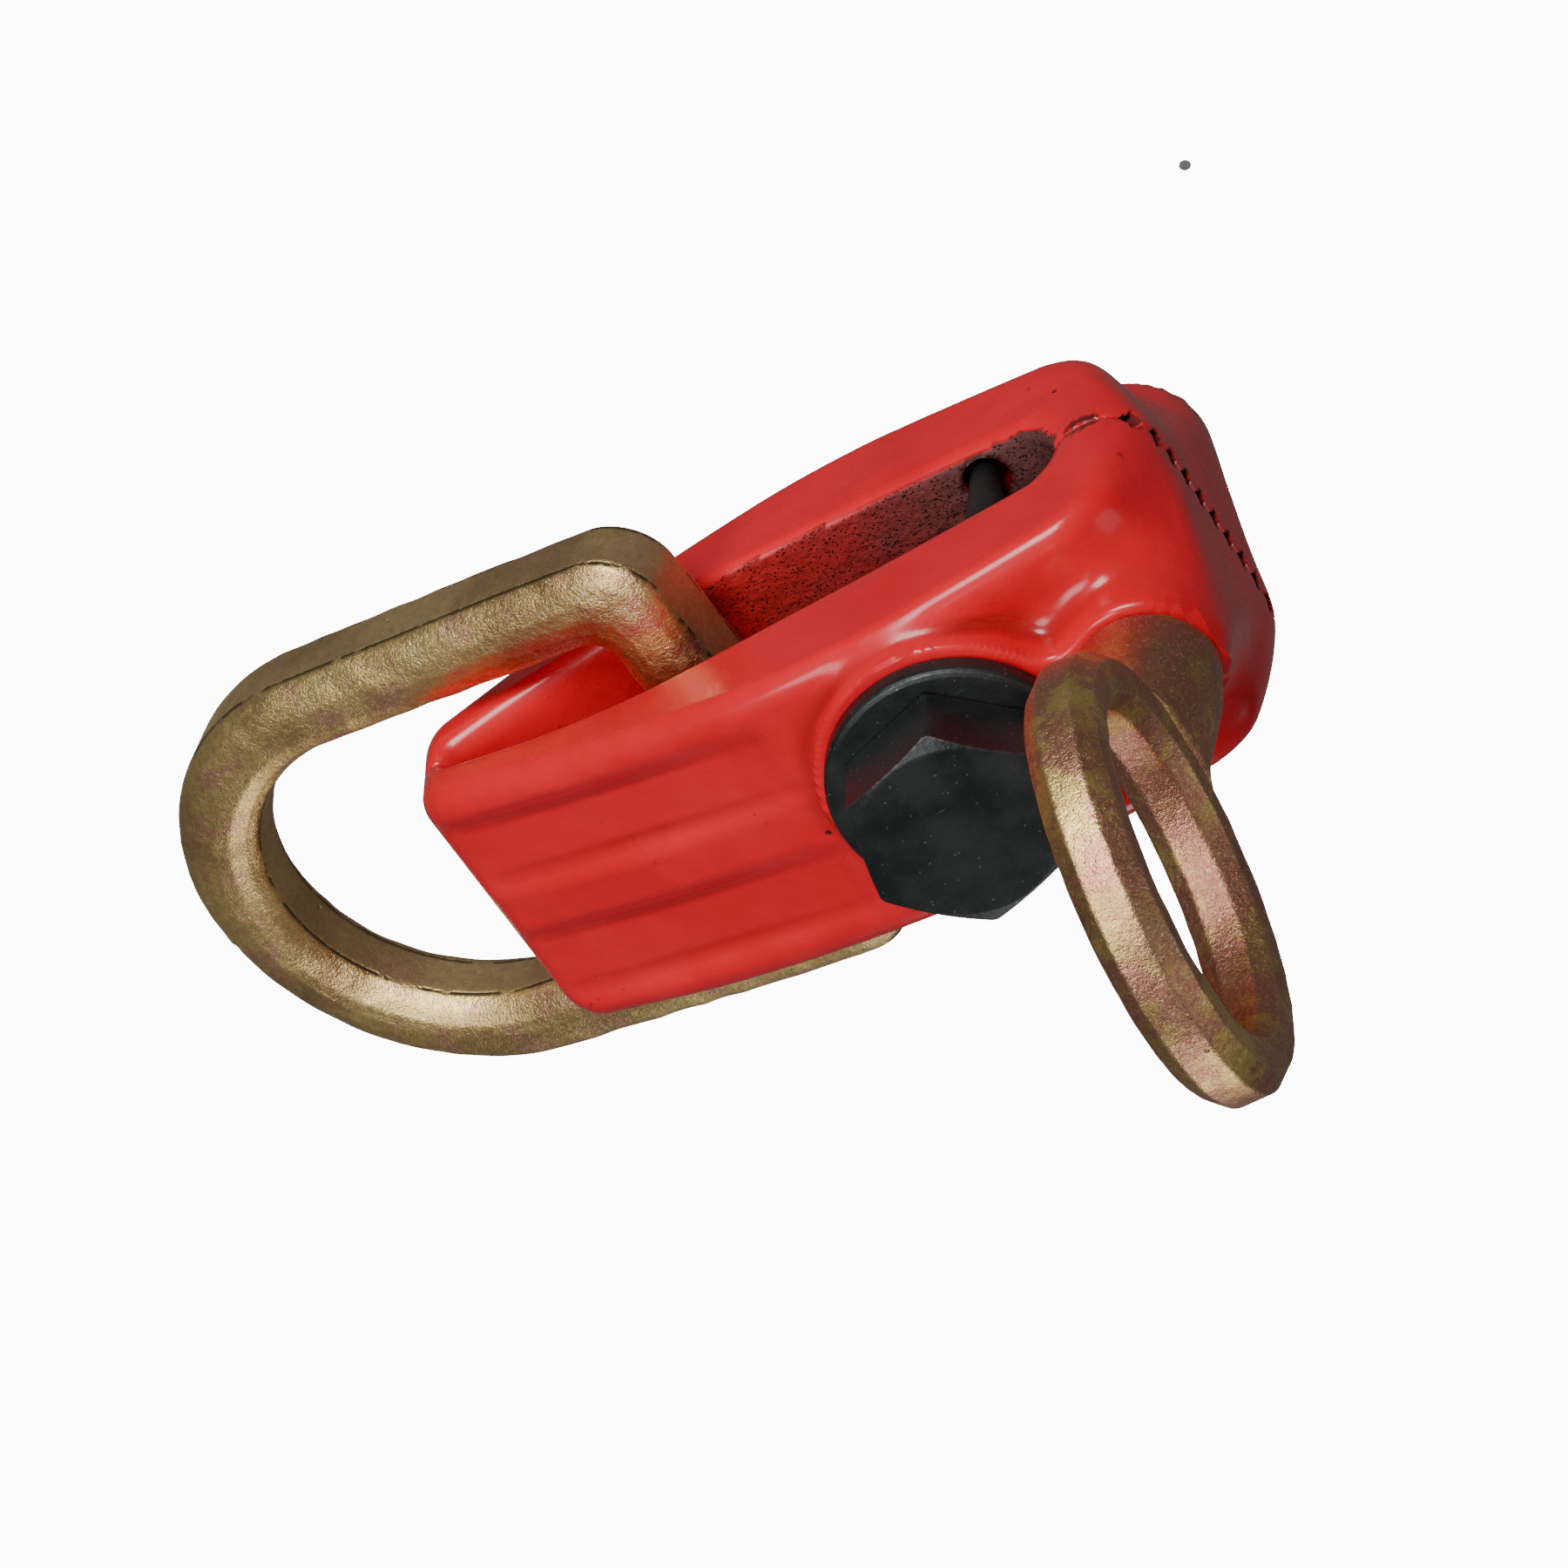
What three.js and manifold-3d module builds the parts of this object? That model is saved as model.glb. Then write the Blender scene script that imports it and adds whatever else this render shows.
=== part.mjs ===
// Two-way self-tightening pull clamp for straightening sheet-metal bodywork.
//
// Two mirrored forged jaws meet at a toothed lip in front and at a heel behind. A hex bolt
// between them closes the mouth, a spring opens it, a D-ring runs its bar through the
// wedge-shaped slot, and an eye bolt stands in a boss just behind the teeth.
//
// Millimetres, +Z along the bolt towards its head, +X out of the mouth, Y across the jaws.
// The outer group's origin is the middle of the bite line on the parting plane. Inside it,
// every piece is drawn from the bolt's axis.
import * as THREE from 'three';
import { mergeVertices } from 'three/addons/utils/BufferGeometryUtils.js';
import Module from 'manifold-3d';

const wasm = await Module();
wasm.setup();

// ---- driving dimensions ----------------------------------------------------------------
const SEAT_GAP = 0.25; // between two faces that touch
const BORE_GAP = 0.3; // radial, round a shaft or a pressed pin

const JAW_WIDTH = 50;
const JAW_REAR = 82.5; // bolt axis to the end of the heel
const PARTING_GAP = 0.3;
const FLANGE_HEIGHT = 31.3; // one jaw over its edge flanges, from the parting plane
const HEEL_HEIGHT = 9.5;
const RAMP_TOP_X = -26; // where the rear ramp reaches the full height
const RAMP_BEND = 6; // how far the ramp's top bend runs into the level back
const NOSE_LENGTH = 37; // from the bite line back to the level back
const NOSE_BROW = 20; // bite line to the top of the steep part
const NOSE_LIP = 0.17; // upright part at the teeth, as a share of the height
const NOSE_BROW_HEIGHT = 0.95; // height of the brow, as a share of the height
const REAR_CORNER = 6; // corner radius in plan
const FRONT_CORNER = 9;

const FLANGE_WIDTH = 6;
const RIB_WIDTH = 9;
const CHANNEL_DEPTH = 5; // at the front end, running out to nothing at the heel
const VALLEY_BACK_X = 8; // between the two bosses
const VALLEY_DEPTH = 5.5;

const HEEL_CONTACT = 6; // length of the heel's mating face
const SLOT_FRONT_WALL = 14.8; // slot's end to the bite line
const SLOT_BACK_HEIGHT = 8.5; // half height where the wedge begins
const WEDGE_MOUTH = 16.5; // length of the slot's steep first stretch
const SLOT_BOLT_HEIGHT = 10.7; // half height beside the bolt

const TOOTH_PITCH = 4.26;
const TOOTH_DEPTH = 2;
const TOOTH_OPENING = 2.4;
const LAND_LENGTH = 12; // length of the toothed land

const BOLT_D = 20;
const BOLT_PAST_JAW = 2.2; // bolt end beyond the lower jaw
const BOLT_CHAMFER = 1.6;
const HEAD_AF = 30; // hexagon across flats
const HEAD_HEIGHT = 12.5;
const HEAD_CHAMFER = 1.3;
const HEAD_TURN = 2.39; // radians, as the head happens to stand
const WASHER_OD = 40;
const WASHER_THICK = 3.9;
const BOLT_CLEARANCE = 0.6; // radial, in the jaws
const BOLT_SWING = 3.2; // extra length of the lower jaw's bolt slot, for the opening angle
const SEAT_RISE = 0.4; // machined washer seat above the flanges
const BOSS_LEDGE = 1.5; // bolt boss beyond the washer

const SPRING_WIRE = 3;
const SPRING_TURNS = 4;
const SPRING_BOLT_GAP = 0.8;

const PIN_ROOT_D = 7.4;
const PIN_TIP_D = 3.4;
const PIN_TIP_Z = -16;
const PIN_IN_JAW = 11; // length pressed into the upper jaw
const PIN_X = 17;
const PIN_EDGE = 5.4; // axis to the jaw's side
const PIN_SOCKET_GAP = 1.9; // radial, in the lower jaw

const EYE_STEM_D = 22;
const EYE_BOSS_LEDGE = 1.2; // boss top beyond the stem
const EYE_BOSS_DRAFT = 1; // boss foot beyond its top
const EYE_WASHER_GAP = 1; // stem to the bolt's washer
const EYE_LIP = 0.1; // boss foot to the bite line
const EYE_THREAD_D = 16;
const EYE_THREAD_LENGTH = 21;
const EYE_RING_R = 29.25; // centre line
const EYE_RING_WIDE = 9.5; // section in the ring's plane
const EYE_RING_THICK = 11.5; // section along the hole
const EYE_RING_BEVEL = 2.9;
const EYE_LIFT = 52.5; // boss top to the ring's centre
const EYE_TURN = THREE.MathUtils.degToRad(87); // ring plane from +X, about the stem

const BAR_X = -35.3; // D-ring bar's place in the slot
const BAR_Y = 2.2; // side play taken up
const BAR_Z = -1.4;
const RING_WIDE = 14.2; // section in the ring's plane
const RING_THICK = 15.8; // section across it
const RING_SIDE_GAP = 2.7; // arm to jaw side
const RING_PAST_HEEL = 13.8; // straight arm beyond the heel
const RING_BOW = 37; // depth of the bow's centre line
const RING_EDGE = 3.6; // rounding of the section's corners
const RING_INNER_CORNER = 4;
const BAR_CLEARANCE = 4.3; // bar to the slot's wall, each side
const RING_DROOP = THREE.MathUtils.degToRad(-16.8);
const RING_YAW = THREE.MathUtils.degToRad(2.5);

// ---- sizes worked out from them ----------------------------------------------------------
const HALF_WIDTH = JAW_WIDTH / 2;
const PARTING_Z = PARTING_GAP / 2;
const SLOT_BAR_HEIGHT = RING_THICK / 2 + BAR_CLEARANCE;
const SLOT_REAR_X = -JAW_REAR + HEEL_CONTACT;
const SLOT_BACK_X = SLOT_REAR_X + WEDGE_MOUTH;
const SEAT_HEIGHT = FLANGE_HEIGHT + SEAT_RISE; // bolt boss and eye boss are faced in one plane
const BOLT_HOLE_R = BOLT_D / 2 + BOLT_CLEARANCE;
const BOSS_R = WASHER_OD / 2 + BOSS_LEDGE;
const CHANNEL_FRONT_X = -BOSS_R - 1.5;
const WASHER_Z = SEAT_HEIGHT + SEAT_GAP;
const HEAD_Z = WASHER_Z + WASHER_THICK + SEAT_GAP;
const BOLT_LENGTH = HEAD_Z + SEAT_HEIGHT + BOLT_PAST_JAW; // under the head
const SPRING_R = BOLT_D / 2 + SPRING_BOLT_GAP + SPRING_WIRE / 2;
const PIN_Y = HALF_WIDTH - PIN_EDGE;
const EYE_BOSS_TOP_R = EYE_STEM_D / 2 + EYE_BOSS_LEDGE;
const EYE_BOSS_BASE_R = EYE_BOSS_TOP_R + EYE_BOSS_DRAFT;
const EYE_X = WASHER_OD / 2 + EYE_WASHER_GAP + EYE_STEM_D / 2;
const JAW_FRONT = EYE_X + EYE_BOSS_BASE_R + EYE_LIP; // bolt axis to the bite line
const SLOT_FRONT_X = JAW_FRONT - SLOT_FRONT_WALL;
const TOOTH_COUNT = 1 + 2 * Math.floor((HALF_WIDTH - TOOTH_OPENING / 2) / TOOTH_PITCH);
const RING_HALF = HALF_WIDTH + RING_SIDE_GAP + RING_WIDE / 2;
const RING_ARM = JAW_REAR + BAR_X + RING_PAST_HEEL;

// ---- materials -----------------------------------------------------------------------------
const finish = (color, roughness, metalness) =>
  new THREE.MeshStandardMaterial({ color, roughness, metalness });
const redPaint = finish(0xd8201f, 0.28, 0.0);
const blackOxide = finish(0x26292b, 0.55, 0.6);
const springSteel = finish(0x4a4a4a, 0.4, 0.9);
const yellowZinc = finish(0xb39a5e, 0.38, 0.9);

// ---- helpers ---------------------------------------------------------------------------------
// A closed geometry as a manifold solid.
function solid(geometry) {
  const bare = geometry.clone();
  bare.deleteAttribute('normal');
  bare.deleteAttribute('uv');
  const merged = mergeVertices(bare, 1e-4);
  return new wasm.Manifold(new wasm.Mesh({
    numProp: 3,
    vertProperties: new Float32Array(merged.attributes.position.array),
    triVerts: new Uint32Array(merged.index.array),
  }));
}

// A manifold solid, or a plain geometry, as a named mesh.
function piece(name, shape, material) {
  let geometry = shape;
  if (!shape.isBufferGeometry) {
    const faces = shape.getMesh();
    geometry = new THREE.BufferGeometry();
    geometry.setAttribute('position', new THREE.BufferAttribute(faces.vertProperties, 3));
    geometry.setIndex(new THREE.BufferAttribute(faces.triVerts, 1));
    geometry.computeVertexNormals();
  }
  const mesh = new THREE.Mesh(geometry, material);
  mesh.name = name;
  return mesh;
}

// An outline in X and Z, carried across the jaws from y0 to y1.
function acrossJaws(shape, y0, y1, curveSegments = 8) {
  const geometry = new THREE.ExtrudeGeometry(
    shape, { depth: y1 - y0, bevelEnabled: false, curveSegments });
  return geometry.rotateX(Math.PI / 2).translate(0, y1, 0);
}

// An outline in X and Y, carried up from z0 to z1.
function upwards(shape, z0, z1, curveSegments = 8) {
  const geometry = new THREE.ExtrudeGeometry(
    shape, { depth: z1 - z0, bevelEnabled: false, curveSegments });
  return geometry.translate(0, 0, z0);
}

function cone(bottomR, topR, z0, z1, x = 0, y = 0, sides = 48) {
  const geometry = new THREE.CylinderGeometry(topR, bottomR, z1 - z0, sides);
  return geometry.rotateX(Math.PI / 2).translate(x, y, (z0 + z1) / 2);
}

const cylinder = (r, z0, z1, x = 0, y = 0, sides = 48) => cone(r, r, z0, z1, x, y, sides);

// A profile of [radius, z] pairs turned about Z.
function turned(profile, sides = 48) {
  const points = profile.map(([r, z]) => new THREE.Vector2(r, z));
  return new THREE.LatheGeometry(points, sides).rotateX(Math.PI / 2);
}

// A rectangle in plan with its own radius on the rear and on the front corners.
function roundedPlan(x0, x1, half, rearR, frontR) {
  const shape = new THREE.Shape();
  shape.moveTo(x0 + rearR, -half);
  shape.lineTo(x1 - frontR, -half);
  shape.absarc(x1 - frontR, -half + frontR, frontR, -Math.PI / 2, 0);
  shape.lineTo(x1, half - frontR);
  shape.absarc(x1 - frontR, half - frontR, frontR, 0, Math.PI / 2);
  shape.lineTo(x0 + rearR, half);
  shape.absarc(x0 + rearR, half - rearR, rearR, Math.PI / 2, Math.PI);
  shape.lineTo(x0, -half + rearR);
  shape.absarc(x0 + rearR, -half + rearR, rearR, Math.PI, Math.PI * 1.5);
  return shape;
}

// ---- the jaws -----------------------------------------------------------------------------------
// Side outline of one jaw: heel, ramp, level back, nose and lip, closed along the parting plane.
function jawOutline() {
  const shape = new THREE.Shape();
  shape.moveTo(-JAW_REAR, PARTING_Z);
  shape.lineTo(JAW_FRONT - 1, PARTING_Z);
  shape.quadraticCurveTo(JAW_FRONT, PARTING_Z, JAW_FRONT, PARTING_Z + 1);
  shape.lineTo(JAW_FRONT, FLANGE_HEIGHT * NOSE_LIP);
  shape.bezierCurveTo(
    JAW_FRONT - 1.3, FLANGE_HEIGHT * 0.62,
    JAW_FRONT - 9.5, FLANGE_HEIGHT * 0.9,
    JAW_FRONT - NOSE_BROW, FLANGE_HEIGHT * NOSE_BROW_HEIGHT);
  const level = JAW_FRONT - NOSE_LENGTH;
  shape.quadraticCurveTo(level + 7, FLANGE_HEIGHT, level, FLANGE_HEIGHT);
  shape.lineTo(RAMP_TOP_X + RAMP_BEND, FLANGE_HEIGHT);
  const rampTop = new THREE.Vector2(RAMP_TOP_X, FLANGE_HEIGHT);
  const rampFoot = new THREE.Vector2(-JAW_REAR, HEEL_HEIGHT);
  const bendEnd = rampTop.clone().lerp(rampFoot, 0.1);
  shape.quadraticCurveTo(rampTop.x, rampTop.y, bendEnd.x, bendEnd.y);
  const heelBend = rampFoot.clone().lerp(rampTop, 0.06);
  shape.lineTo(heelBend.x, heelBend.y);
  shape.quadraticCurveTo(rampFoot.x, rampFoot.y, -JAW_REAR, HEEL_HEIGHT - 3.5);
  return shape;
}

// Height of the ramp's flange line at x.
function rampHeight(x) {
  return HEEL_HEIGHT + (FLANGE_HEIGHT - HEEL_HEIGHT) * (x + JAW_REAR) / (RAMP_TOP_X + JAW_REAR);
}

// Half of the through slot, as it is cut from one jaw: heel face, wedge, bar seat and front end.
function slotOutline() {
  const shape = new THREE.Shape();
  shape.moveTo(SLOT_REAR_X, -1);
  shape.lineTo(SLOT_REAR_X, PARTING_Z + 1.5);
  shape.quadraticCurveTo(SLOT_REAR_X + 1, 4.5, SLOT_BACK_X, SLOT_BACK_HEIGHT);
  shape.quadraticCurveTo(BAR_X - 9, SLOT_BAR_HEIGHT, BAR_X + 3, SLOT_BAR_HEIGHT);
  shape.lineTo(-SPRING_R - SPRING_WIRE, SLOT_BOLT_HEIGHT);
  shape.lineTo(SPRING_R + SPRING_WIRE, SLOT_BOLT_HEIGHT);
  shape.bezierCurveTo(
    SLOT_FRONT_X - 6, SLOT_BOLT_HEIGHT * 0.95,
    SLOT_FRONT_X, SLOT_BOLT_HEIGHT * 0.5,
    SLOT_FRONT_X, -1);
  return shape;
}

// One recessed channel of the ramp: its floor leaves the ramp at the heel and ends in front
// in a short steep rise. The cutter reaches above the jaw.
function channelOutline() {
  const top = FLANGE_HEIGHT + 5;
  const shape = new THREE.Shape();
  shape.moveTo(-JAW_REAR - 1, rampHeight(-JAW_REAR - 1) - 0.2);
  shape.lineTo(CHANNEL_FRONT_X - 3, rampHeight(CHANNEL_FRONT_X - 3) - CHANNEL_DEPTH);
  shape.lineTo(CHANNEL_FRONT_X, FLANGE_HEIGHT + 1);
  shape.lineTo(CHANNEL_FRONT_X, top);
  shape.lineTo(-JAW_REAR - 1, top);
  return shape;
}

// One V notch of the bite, a prism along X with its edge inside the jaw.
function notch(y) {
  const shape = new THREE.Shape();
  shape.moveTo(-TOOTH_OPENING / 2, PARTING_Z - 0.5);
  shape.lineTo(TOOTH_OPENING / 2, PARTING_Z - 0.5);
  shape.lineTo(0, PARTING_Z + TOOTH_DEPTH);
  const geometry = new THREE.ExtrudeGeometry(
    shape, { depth: LAND_LENGTH + 2, bevelEnabled: false });
  geometry.rotateX(Math.PI / 2).rotateZ(Math.PI / 2);
  return geometry.translate(JAW_FRONT - LAND_LENGTH, y, 0);
}

// The forging both jaws share, drawn as the upper one, before it is drilled.
function jawBlank() {
  let jaw = solid(acrossJaws(jawOutline(), -HALF_WIDTH, HALF_WIDTH));
  const plan = roundedPlan(-JAW_REAR, JAW_FRONT, HALF_WIDTH, REAR_CORNER, FRONT_CORNER);
  jaw = jaw.intersect(solid(upwards(plan, -1, FLANGE_HEIGHT + 10)));

  // two channels leave the edge flanges and the middle rib
  for (const side of [-1, 1]) {
    const inner = side * RIB_WIDTH / 2;
    const outer = side * (HALF_WIDTH - FLANGE_WIDTH);
    const cutter = acrossJaws(channelOutline(), Math.min(inner, outer), Math.max(inner, outer));
    jaw = jaw.subtract(solid(cutter));
  }

  // valley between the bolt's boss and the eye's boss
  const valleyFloor = FLANGE_HEIGHT - VALLEY_DEPTH;
  const valley = roundedPlan(VALLEY_BACK_X, EYE_X + 1, HALF_WIDTH - FLANGE_WIDTH - 1, 5, 5);
  jaw = jaw.subtract(solid(upwards(valley, valleyFloor, FLANGE_HEIGHT + 5)));
  const bossFoot = SLOT_BOLT_HEIGHT + 3;
  jaw = jaw.add(solid(cone(BOSS_R + 0.6, BOSS_R, bossFoot, SEAT_HEIGHT)));
  const eyeFoot = SLOT_BOLT_HEIGHT + 2;
  const eyeBoss = solid(cone(EYE_BOSS_BASE_R, EYE_BOSS_TOP_R, eyeFoot, SEAT_HEIGHT, EYE_X));
  jaw = jaw.add(eyeBoss);

  jaw = jaw.subtract(solid(acrossJaws(slotOutline(), -HALF_WIDTH - 1, HALF_WIDTH + 1)));
  const firstNotch = -TOOTH_PITCH * (TOOTH_COUNT - 1) / 2;
  for (let i = 0; i < TOOTH_COUNT; i += 1) {
    jaw = jaw.subtract(solid(notch(firstNotch + i * TOOTH_PITCH)));
  }
  return jaw;
}

function upperJaw() {
  let jaw = jawBlank();
  jaw = jaw.subtract(solid(cylinder(BOLT_HOLE_R, -1, SEAT_HEIGHT + 5)));
  const threadHole = cylinder(
    EYE_THREAD_D / 2 + BORE_GAP, SEAT_HEIGHT - EYE_THREAD_LENGTH - 1, SEAT_HEIGHT + 5, EYE_X);
  jaw = jaw.subtract(solid(threadHole));
  for (const side of [-1, 1]) {
    const hole = cylinder(
      PIN_ROOT_D / 2 + BORE_GAP, -1, SLOT_BOLT_HEIGHT + PIN_IN_JAW + SEAT_GAP, PIN_X, side * PIN_Y, 24);
    jaw = jaw.subtract(solid(hole));
  }
  return piece('upper_jaw', jaw, redPaint);
}

// The same forging turned over, with a bolt hole lengthened towards the mouth so that the
// bolt can lean with the upper jaw.
function lowerJaw() {
  let jaw = jawBlank();
  const depth = SEAT_HEIGHT + 5;
  const boltSlot = roundedPlan(
    -BOLT_HOLE_R, BOLT_HOLE_R + BOLT_SWING, BOLT_HOLE_R, BOLT_HOLE_R - 0.01, BOLT_HOLE_R - 0.01);
  jaw = jaw.subtract(solid(upwards(boltSlot, -1, depth, 12)));
  for (const side of [-1, 1]) {
    const socket = cylinder(
      PIN_TIP_D / 2 + PIN_SOCKET_GAP, -1, -PIN_TIP_Z + 3, PIN_X + 0.4, side * PIN_Y, 24);
    jaw = jaw.subtract(solid(socket));
  }
  const mesh = piece('lower_jaw', jaw, redPaint);
  mesh.geometry.rotateX(Math.PI);
  return mesh;
}

// ---- bolt, washer and spring --------------------------------------------------------------------
function hexagon(acrossFlats) {
  const shape = new THREE.Shape();
  const corner = acrossFlats / Math.sqrt(3);
  for (let i = 0; i < 6; i += 1) {
    const a = HEAD_TURN + i * Math.PI / 3;
    const x = corner * Math.cos(a);
    const y = corner * Math.sin(a);
    if (i === 0) shape.moveTo(x, y);
    else shape.lineTo(x, y);
  }
  return shape;
}

// The bolt's head: a hexagon prism whose top is chamfered by turning.
function boltHead() {
  const top = HEAD_Z + HEAD_HEIGHT;
  const corner = HEAD_AF / Math.sqrt(3) + 0.2;
  const envelope = turned([
    [0, HEAD_Z], [corner, HEAD_Z], [corner, top - HEAD_CHAMFER * 1.3],
    [HEAD_AF / 2 * 0.97, top], [0, top]]);
  return solid(upwards(hexagon(HEAD_AF), HEAD_Z, top)).intersect(solid(envelope));
}

function clampBolt() {
  const end = HEAD_Z - BOLT_LENGTH;
  const shank = turned([
    [0, end], [BOLT_D / 2 - BOLT_CHAMFER, end], [BOLT_D / 2, end + BOLT_CHAMFER],
    [BOLT_D / 2, HEAD_Z + 1], [0, HEAD_Z + 1]]);
  return piece('clamp_bolt', boltHead().add(solid(shank)), blackOxide);
}

// A washer with softened outer edges.
function headWasher() {
  const inner = BOLT_D / 2 + BORE_GAP;
  const outer = WASHER_OD / 2;
  const top = WASHER_Z + WASHER_THICK;
  const edge = 0.6;
  const profile = [
    [inner, WASHER_Z], [outer - edge, WASHER_Z], [outer, WASHER_Z + edge], [outer, top - edge],
    [outer - edge, top], [inner, top], [inner, WASHER_Z]];
  return piece('head_washer', turned(profile), blackOxide);
}

// A helix whose first and last turns lie nearly flat.
class CoilPath extends THREE.Curve {
  getPoint(t) {
    const half = SLOT_BOLT_HEIGHT - SEAT_GAP - SPRING_WIRE / 2;
    const flat = 0.75 / SPRING_TURNS;
    const rise = THREE.MathUtils.clamp((t - flat / 2) / (1 - flat), 0, 1);
    const a = 2 * Math.PI * SPRING_TURNS * t;
    return new THREE.Vector3(
      SPRING_R * Math.cos(a), SPRING_R * Math.sin(a), -half + 2 * half * rise);
  }
}

function openingSpring() {
  const section = new THREE.Shape();
  section.absarc(0, 0, SPRING_WIRE / 2, 0, 2 * Math.PI);
  const geometry = new THREE.ExtrudeGeometry(
    section, { steps: SPRING_TURNS * 18, curveSegments: 4, extrudePath: new CoilPath() });
  return piece('opening_spring', geometry, springSteel);
}

// A taper pin: parallel where it is pressed in, tapered down to a rounded tip.
function guidePin(name, side) {
  const root = PIN_ROOT_D / 2;
  const tip = PIN_TIP_D / 2;
  const jawFace = SLOT_BOLT_HEIGHT;
  const pin = turned([
    [0, PIN_TIP_Z], [tip * 0.6, PIN_TIP_Z], [tip, PIN_TIP_Z + 1],
    [root, jawFace - 2], [root, jawFace + PIN_IN_JAW], [0, jawFace + PIN_IN_JAW]], 24);
  return piece(name, pin.translate(PIN_X, side * PIN_Y, 0), blackOxide);
}

// ---- the two pulls ------------------------------------------------------------------------------
// The ring is a turned band with a flat outside and bevelled cheeks; the stem flares into it.
function eyeBolt() {
  const wide = EYE_RING_WIDE / 2;
  const thick = EYE_RING_THICK / 2;
  const bevel = EYE_RING_BEVEL;
  const profile = [
    [EYE_RING_R + wide, -thick + bevel], [EYE_RING_R + wide, thick - bevel],
    [EYE_RING_R + wide - bevel, thick], [EYE_RING_R - wide + bevel, thick],
    [EYE_RING_R - wide, thick - bevel], [EYE_RING_R - wide, -thick + bevel],
    [EYE_RING_R - wide + bevel, -thick], [EYE_RING_R + wide - bevel, -thick],
    [EYE_RING_R + wide, -thick + bevel]];
  const ring = turned(profile, 64).rotateX(Math.PI / 2).translate(0, 0, EYE_LIFT);
  const stemR = EYE_STEM_D / 2;
  const ringFoot = EYE_LIFT - EYE_RING_R - wide;
  const stem = turned([
    [0, -EYE_THREAD_LENGTH], [EYE_THREAD_D / 2 - 1, -EYE_THREAD_LENGTH],
    [EYE_THREAD_D / 2, -EYE_THREAD_LENGTH + 1], [EYE_THREAD_D / 2, SEAT_GAP],
    [stemR, SEAT_GAP], [stemR, ringFoot * 0.45], [stemR - 1.5, ringFoot * 0.8],
    [thick, ringFoot + wide * 0.8], [0, ringFoot + wide * 0.8]]);
  const eye = piece('eye_bolt', solid(ring).add(solid(stem)), yellowZinc);
  eye.position.set(EYE_X, 0, SEAT_HEIGHT);
  eye.rotation.z = EYE_TURN;
  return eye;
}

// Outline of the D-ring in its own plane, grown from its centre line by grow: straight bar at
// the front, two arms, and a half-ellipse bow behind.
function ringOutline(target, grow, corner) {
  const half = RING_HALF + grow;
  const front = grow;
  target.moveTo(front, half - corner);
  target.absarc(front - corner, half - corner, corner, 0, Math.PI / 2);
  target.lineTo(-RING_ARM, half);
  target.absellipse(-RING_ARM, 0, RING_BOW + grow, half, Math.PI / 2, Math.PI * 1.5);
  target.lineTo(front - corner, -half);
  target.absarc(front - corner, -half + corner, corner, -Math.PI / 2, 0);
  target.closePath();
  return target;
}

function dRing() {
  const grow = RING_WIDE / 2;
  const outline = ringOutline(new THREE.Shape(), grow, RING_INNER_CORNER + RING_WIDE * 0.6);
  outline.holes.push(ringOutline(new THREE.Path(), -grow, RING_INNER_CORNER));
  const band = new THREE.ExtrudeGeometry(outline, {
    depth: RING_THICK - 2 * RING_EDGE,
    bevelEnabled: true,
    bevelThickness: RING_EDGE,
    bevelSize: RING_EDGE,
    bevelOffset: -RING_EDGE,
    bevelSegments: 2,
    curveSegments: 14,
  });
  band.translate(0, 0, -RING_THICK / 2 + RING_EDGE);
  const ring = piece('d_ring', band, yellowZinc);
  ring.position.set(BAR_X, BAR_Y, BAR_Z);
  ring.rotation.set(0, RING_DROOP, RING_YAW);
  return ring;
}

// ---- assembly -----------------------------------------------------------------------------------
const clamp = new THREE.Group();
clamp.position.x = -JAW_FRONT;
clamp.add(lowerJaw());
clamp.add(upperJaw());
clamp.add(clampBolt());
clamp.add(headWasher());
clamp.add(openingSpring());
clamp.add(guidePin('guide_pin_left', 1));
clamp.add(guidePin('guide_pin_right', -1));
clamp.add(eyeBolt());
clamp.add(dRing());

const model = new THREE.Group();
model.add(clamp);

export default model;
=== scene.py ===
"""Looks of the two-way pull clamp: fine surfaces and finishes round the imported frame.

Shapes are worked out in millimetres from the bolt's axis (x towards the mouth, y across the
jaws, z up the bolt from the parting plane) and put into the frame's metres by make_piece.
"""

import math

import bmesh
import bpy
import numpy as np
from mathutils import Matrix, Vector


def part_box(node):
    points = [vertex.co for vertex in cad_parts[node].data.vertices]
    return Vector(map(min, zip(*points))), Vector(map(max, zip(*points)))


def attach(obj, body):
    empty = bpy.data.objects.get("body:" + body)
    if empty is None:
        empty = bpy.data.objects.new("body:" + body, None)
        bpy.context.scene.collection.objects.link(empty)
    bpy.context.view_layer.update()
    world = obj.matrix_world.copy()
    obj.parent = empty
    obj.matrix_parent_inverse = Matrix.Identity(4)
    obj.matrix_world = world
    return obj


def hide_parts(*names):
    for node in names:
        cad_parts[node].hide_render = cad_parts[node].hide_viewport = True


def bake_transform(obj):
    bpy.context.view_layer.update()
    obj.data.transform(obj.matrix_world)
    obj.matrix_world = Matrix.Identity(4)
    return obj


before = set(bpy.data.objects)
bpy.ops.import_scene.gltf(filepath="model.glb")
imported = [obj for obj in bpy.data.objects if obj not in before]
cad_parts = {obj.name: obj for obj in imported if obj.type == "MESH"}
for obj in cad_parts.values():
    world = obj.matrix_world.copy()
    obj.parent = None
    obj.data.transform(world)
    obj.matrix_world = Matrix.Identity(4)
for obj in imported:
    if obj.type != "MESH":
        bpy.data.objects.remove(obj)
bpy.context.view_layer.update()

# ---- sizes read from the frame, in millimetres ------------------------------------------
MM = 0.001


def box_mm(node):
    low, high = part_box(node)
    return np.array(low) / MM, np.array(high) / MM


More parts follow.
